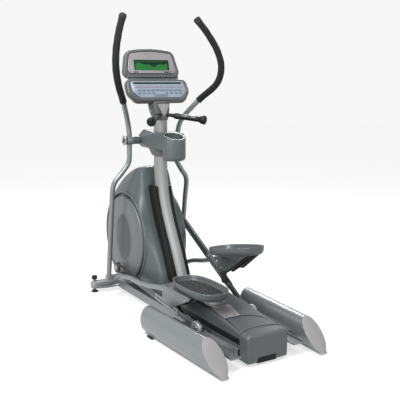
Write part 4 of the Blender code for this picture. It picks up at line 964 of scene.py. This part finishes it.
def make_carriers():
    for side, sign in SIDES.items():
        stand, body, x = about_link(side), f"carrier_{side}", sign * TUBE_X
        line = [(x, 0, 0), (x, -0.040, 0.020), (x, -0.085, 0.034), (x, -0.140, 0.040),
                (x, -0.250, 0.057), (x, -0.380, 0.062), (x, -0.500, 0.075),
                (x, -0.640, 0.101), (x, -0.700, 0.106), (x, -0.820, 0.106)]
        tube = sweep(curve(line, 8), TUBE_R, 32, 0.003)
        low, high = spanned(sign, TUBE_X - TUBE_R, TUBE_X + 0.0155)
        eye = rod((low, 0, 0), (high, 0, 0), 0.0200, 0.0015, 40)
        piece(f"pedal_tube_{side}", moved(add(tube, eye), stand), body, "silver", 0,
              f"pedal_carrier_{side}")
        low, high = spanned(sign, TUBE_X, 0.2775)
        pin = rod((low, 0, 0), (high, 0, 0), 0.0080, 0.0005)
        head = turned([(0.0001, 0.0050), (0.0060, 0.0050), (0.0110, 0.0042), (0.0138, 0.0020),
                       (0.0140, 0.0), (0.0001, 0.0)], (sign * 0.2740, 0, 0), (sign, 0, 0), 32)
        y, z = PEDAL_PIVOT.yz
        pivot = [rod((sign * 0.1615, y, z), (sign * 0.1965, y, z), 0.0080, 0.0005)]
        for start, way in ((0.1620, -1), (0.1940, 1)):
            pivot.append(turned([(0.0001, 0.0040), (0.0085, 0.0038), (0.0118, 0.0022),
                                 (0.0126, 0.0), (0.0001, 0.0)], (sign * start, y, z),
                                (sign * way, 0, 0), 6 if way > 0 else 32))
        bolts = [turned([(0.0001, 0.0045), (0.0055, 0.0042), (0.0080, 0.0020), (0.0084, 0.0),
                         (0.0001, 0.0)], (sign * 0.1935, b, 0.104), (sign, 0, 0), 24)
                 for b in (-0.690, -0.800)]
        bolts += [turned([(0.0001, 0.0035), (0.0040, 0.0033), (0.0062, 0.0018), (0.0066, 0.0),
                          (0.0001, 0.0)], (sign * 0.2381, b, c), (sign, 0, 0), 24)
                  for b, c in ((-0.722, 0.050), (-0.930, 0.106))]
        piece(f"pedal_bolts_{side}", moved(add(pin, head, *pivot, *bolts), stand), body, "steel")
        low, high = spanned(sign, 0.140, 0.236)
        shelf = prism(rounded([(low, -0.960, 0.020), (high, -0.960, 0.020),
                               (high, -0.662, 0.012), (low, -0.662, 0.012)]), 0.1190, 0.1266, "Z")
        web = rounded([(-0.652, 0.122, 0), (-0.632, 0.040, 0.008), (-0.645, 0.010, 0.012),
                       (-0.700, 0.008, 0.014), (-0.745, 0.022, 0.020), (-0.985, 0.122, 0)], 6)
        webs = [prism(web, *spanned(sign, *faces)) for faces in ((0.162, 0.166), (0.190, 0.194))]
        cheek = rounded([(-0.690, 0.132, 0.006), (-0.684, 0.056, 0.010), (-0.712, 0.034, 0.010),
                         (-0.800, 0.032, 0.012), (-0.985, 0.122, 0.004),
                         (-0.960, 0.134, 0.004)], 6)
        webs.append(prism(cheek, *spanned(sign, 0.2345, 0.2383)))
        piece(f"pedal_bracket_{side}", moved(add(shelf, *webs), stand), body, "bracket",
              0.0008, segments=2)
        strip = [(-0.741, 0.0125), (-0.745, 0.0225), (-0.985, 0.1225), (-1.000, 0.1225),
                 (-0.992, 0.1125)]
        strips = [prism(strip, *spanned(sign, *faces)) for faces in EDGE_STRIPS]
        stop = prism(rounded([(-0.690, 0.020, 0.004), (-0.686, -0.034, 0.010),
                              (-0.696, -0.048, 0.008), (-0.730, -0.046, 0.010),
                              (-0.736, 0.022, 0.004)]), *spanned(sign, 0.1500, 0.1622))
        piece(f"pedal_edge_{side}", moved(add(stop, *strips), stand), body, "rubber", 0.0008)


def tray_ring(centre, half_x, half_y, z):
    return ring(centre, half_x, half_y, z, 72, 2.8)


def make_pedals():
    for side, sign in SIDES.items():
        stand, body = about_link(side), f"carrier_{side}"
        centre = (sign * 0.128, -0.905)
        levels = [(0.080, 0.174, 0.1270), (0.086, 0.180, 0.1278), (0.0915, 0.1865, 0.1330),
                  (0.0975, 0.1935, 0.1420), (0.1005, 0.1965, 0.1550), (0.1018, 0.1978, 0.1680),
                  (0.1020, 0.1980, 0.1700), (0.1012, 0.1972, 0.1716), (0.0995, 0.1955, 0.1722),
                  (0.0970, 0.1930, 0.1718), (0.0955, 0.1915, 0.1700), (0.0930, 0.1890, 0.1560),
                  (0.0890, 0.1850, 0.1450), (0.0860, 0.1820, 0.1425)]
        piece(f"pedal_tray_{side}",
              moved(skin([tray_ring(centre, *level) for level in levels]), stand), body,
              "cover", 0, f"pedal_{side}", smooth=50)
        mat = skin([tray_ring(centre, 0.0855, 0.1815, 0.1423),
                    tray_ring(centre, 0.0850, 0.1810, 0.1450),
                    tray_ring(centre, 0.0830, 0.1790, 0.1460)])
        ribs = []
        for k in range(15):
            b = -0.161 + 0.023 * k
            reach = 0.080 * (1 - abs(b / 0.176) ** 2.8) ** (1 / 2.8)
            ribs.append(prism(rounded([(b - 0.0045, 0.1455, 0), (b + 0.0045, 0.1455, 0),
                                       (b + 0.0034, 0.1492, 0.001),
                                       (b - 0.0034, 0.1492, 0.001)][::-1], 2),
                              centre[0] - reach + 0.003, centre[0] + reach - 0.003))
            ribs[-1] = ([Vector((p.x, p.y + centre[1], p.z)) for p in ribs[-1][0]],
                        ribs[-1][1])
        for a in (-0.054, -0.018, 0.018, 0.054):
            reach = 0.174 * (1 - abs(a / 0.080) ** 2.8) ** (1 / 2.8)
            ribs.append(block((centre[0] + a - 0.003, centre[1] - reach, 0.1455),
                              (centre[0] + a + 0.003, centre[1] + reach, 0.1484)))
        piece(f"pedal_pad_{side}", moved(add(mat, *ribs), stand), body, "rubber", 0,
              f"pedal_mat_{side}")


def rod_frame(side):
    """Pedal pivot and pitch of one connecting rod, at rest."""
    pivot = Vector((0, *LINK.yz)) + Matrix.Rotation(PEDAL_PITCH[side], 3, "X") @ PEDAL_PIVOT
    behind = ROD_LENGTH - ROD_PIVOT_AT
    reach = math.hypot(behind, ROD_PIVOT_RISE)
    pitch = math.asin((pivot.z - ROLLER_Z) / reach) - math.atan2(ROD_PIVOT_RISE, behind)
    return pivot, pitch


def make_rods():
    for side, sign in SIDES.items():
        pivot, pitch = rod_frame(side)
        stand = Matrix.Translation(pivot) @ Matrix.Rotation(pitch, 4, "X")
        body, behind = f"rod_{side}", -(ROD_LENGTH - ROD_PIVOT_AT)
        level = -ROD_PIVOT_RISE
        low, high = spanned(sign, *ROD_X)
        bar = prism(rounded([(behind, level - 0.0145, 0), (-0.125, level - 0.0145, 0.02),
                             (-0.108, level - 0.021, 0.02), (ROD_PIVOT_AT, level - 0.021, 0),
                             (ROD_PIVOT_AT, level + 0.021, 0), (0.045, level + 0.021, 0.02),
                             (0.019, 0.004, 0.01), (-0.019, 0.004, 0.01),
                             (-0.045, level + 0.021, 0.02), (-0.108, level + 0.021, 0.02),
                             (-0.125, level + 0.0145, 0.02), (behind, level + 0.0145, 0)], 5),
                    low, high)
        bar = to_object(bar)
        carve(bar, "UNION",
              rod((sign * 0.171, ROD_PIVOT_AT, level), (sign * 0.1865, ROD_PIVOT_AT, level),
                  0.033, 0.001, 48),
              rod((sign * 0.1705, behind, level), (sign * 0.1865, behind, level), 0.026, 0.001,
                  48),
              rod((sign * 0.1705, 0, 0), (sign * 0.1855, 0, 0), 0.0205, 0.0005, 40))
        carve(bar, "DIFFERENCE", rod((-0.3, 0, 0), (0.3, 0, 0), 0.0083, 0.0001))
        bar.data.transform(stand)
        piece(f"rod_bar_{side}", bar, body, "dark_paint", 0.0012,
              f"connecting_rod_{side}", segments=2)
        plates = []
        for offset in (-0.0115, 0.0115):
            for faces in ((0.1690, 0.1712), (0.1848, 0.1872)):
                plates.append(prism(rounded([(-0.110, level + offset - 0.0065, 0.004),
                                             (0.170, level + offset - 0.0065, 0.004),
                                             (0.170, level + offset + 0.0065, 0.004),
                                             (-0.110, level + offset + 0.0065, 0.004)]),
                                    *spanned(sign, *faces)))
        piece(f"rod_plates_{side}", moved(add(*plates), stand), body, "silver", 0.0006,
              segments=2)
        axle = rod((sign * 0.167, behind, level), (sign * 0.2140, behind, level), 0.0080, 0.0005)
        ends = [turned([(0.0001, 0.0035), (0.0080, 0.0035), (0.0125, 0.0015), (0.0130, 0.0),
                        (0.0001, 0.0)], (sign * a, behind, level), (sign * way, 0, 0), 32)
                for a, way in ((0.2125, 1), (0.1700, -1))]
        ends += [turned([(0.0001, 0.0035), (0.0055, 0.0033), (0.0085, 0.0015), (0.0090, 0.0),
                         (0.0001, 0.0)], (sign * a, b, level), (sign * way, 0, 0), 24)
                 for a, way in ((0.1870, 1), (0.1692, -1)) for b in (-0.094, 0.150)]
        cap = turned([(0.0001, 0.0045), (0.0150, 0.0045), (0.0200, 0.0030), (0.0215, 0.0),
                      (0.0001, 0.0)], (sign * 0.1945, ROD_PIVOT_AT, level), (sign, 0, 0), 40)
        piece(f"rod_bolts_{side}", moved(add(axle, *ends, cap), stand), body, "steel")
        nose = rod((sign * 0.1860, ROD_PIVOT_AT, level), (sign * 0.1980, ROD_PIVOT_AT, level),
                   0.0325, 0.0030, 48)
        piece(f"rod_end_{side}", moved(nose, stand), body, "housing")

        roller = pivot + Matrix.Rotation(pitch, 3, "X") @ Vector((0, behind, level))
        tread = [(0.0215, -0.0100), (0.0360, -0.0112), (0.0388, -0.0098), (0.0400, -0.0075),
                 (0.0400, 0.0075), (0.0388, 0.0098), (0.0360, 0.0112), (0.0215, 0.0100)]
        hub = [(0.0083, -0.0118), (0.0170, -0.0118), (0.0200, -0.0090), (0.0220, -0.0085),
               (0.0220, 0.0085), (0.0200, 0.0090), (0.0170, 0.0118), (0.0083, 0.0118)]
        centre, axis = (sign * 0.2, roller.y, roller.z), (1, 0, 0)
        piece(f"roller_tread_{side}", turned(tread, centre, axis, 56, closed=True),
              f"roller_{side}", "plate", 0, f"roller_{side}")
        piece(f"roller_hub_{side}", turned(hub, centre, axis, 40, closed=True),
              f"roller_{side}", "steel")


# ---- CAD pieces that stay -------------------------------------------------------------------
def finish_cad_nodes():
    """Give every CAD node a procedural material, and round the edges of those in view."""
    by_slot = {"silver_paint": "silver", "rubber": "rubber", "light_cap": "cap",
               "housing_grey": "housing", "aluminium": "plate", "black_plastic": "black",
               "shroud_grey": "shroud", "disc_grey": "disc", "overlay": "overlay",
               "screen": "screen", "foam": "foam", "steel": "steel", "cast_iron": "iron"}
    slots = {entry["node"]: entry["material_slot"] for entry in frame["record"]["subparts"]}
    for name, item in frame["nodes"].items():
        item.data.materials.clear()
        item.data.materials.append(FINISHES[by_slot[slots[name]]][0])
        if name == "base_frame" or name.startswith("roller_track"):
            weld = item.modifiers.new("weld", "WELD")
            weld.merge_threshold = 1e-5
            edge = item.modifiers.new("edge", "BEVEL")
            edge.width, edge.segments = 0.0022 if name == "base_frame" else 0.0008, 2
            edge.limit_method, edge.angle_limit = "ANGLE", math.radians(50)
            edge.harden_normals = True


# ---- room, light and camera -----------------------------------------------------------------
def stage_room():
    mesh = bpy.data.meshes.new("floor")
    far = 14.0
    mesh.from_pydata([(-far, -far, 0), (far, -far, 0), (far, far, 0), (-far, far, 0)], [],
                     [(0, 1, 2, 3)])
    floor = bpy.data.objects.new("floor", mesh)
    bpy.context.scene.collection.objects.link(floor)
    pale = surface("pale_floor", (0.30, 0.30, 0.30), 0.9, specular=0.1, variation=(0.7, 0.01),
                   grain=(40.0, 0.02, 0.0005))
    glow = pale.node_tree.nodes["Principled BSDF"]
    glow.inputs["Emission Color"].default_value = (1.0, 1.0, 1.0, 1)
    glow.inputs["Emission Strength"].default_value = 0.62
    floor.data.materials.append(pale)
    floor.location.z = -0.0006
    world = bpy.data.worlds.new("studio")
    world.use_nodes = True
    sky = world.node_tree.nodes["Background"]
    sky.inputs["Color"].default_value = (1.0, 1.0, 1.0, 1)
    sky.inputs["Strength"].default_value = 0.93
    bpy.context.scene.world = world


def add_light(name, place, aim, size, power, shape="RECTANGLE", height=None):
    data = bpy.data.lights.new(name, "AREA")
    data.shape, data.size, data.size_y = shape, size, height or size
    data.energy = power
    lamp = bpy.data.objects.new(name, data)
    lamp.location = place
    lamp.rotation_euler = (Vector(aim) - Vector(place)).to_track_quat("-Z", "Y").to_euler()
    bpy.context.scene.collection.objects.link(lamp)


def light_and_camera():
    bpy.context.scene.view_settings.view_transform = "Standard"
    add_light("key", (-3.2, -1.2, 3.0), (0, 0, 0.7), 1.3, 190, height=2.0)
    add_light("fill", (1.6, -3.6, 2.2), (0, -0.1, 0.6), 2.2, 25)
    add_light("rim", (1.6, 2.8, 3.0), (0, 0.2, 0.8), 1.2, 70)
    add_light("top", (-0.6, -0.4, 4.2), (0, 0, 0), 1.8, 90)
    data = bpy.data.cameras.new("camera")
    data.lens, data.sensor_width = 61.9, 36.0
    camera = bpy.data.objects.new("camera", data)
    camera.location = (-1.93, -3.354, 1.369)
    camera.rotation_euler = (math.radians(90 - 9.88), 0, math.radians(-31.0))
    bpy.context.scene.collection.objects.link(camera)
    bpy.context.scene.camera = camera


light_and_camera()
stage_room()
make_pods()
make_cover()
make_stabiliser()
make_mast()
make_shrouds()
make_shroud_seam()
make_discs()
make_display()
make_keypad()
make_neck()
make_pulse_grips()
make_cup_holder()
make_axle()
make_arms()
make_carriers()
make_pedals()
make_rods()
finish_cad_nodes()
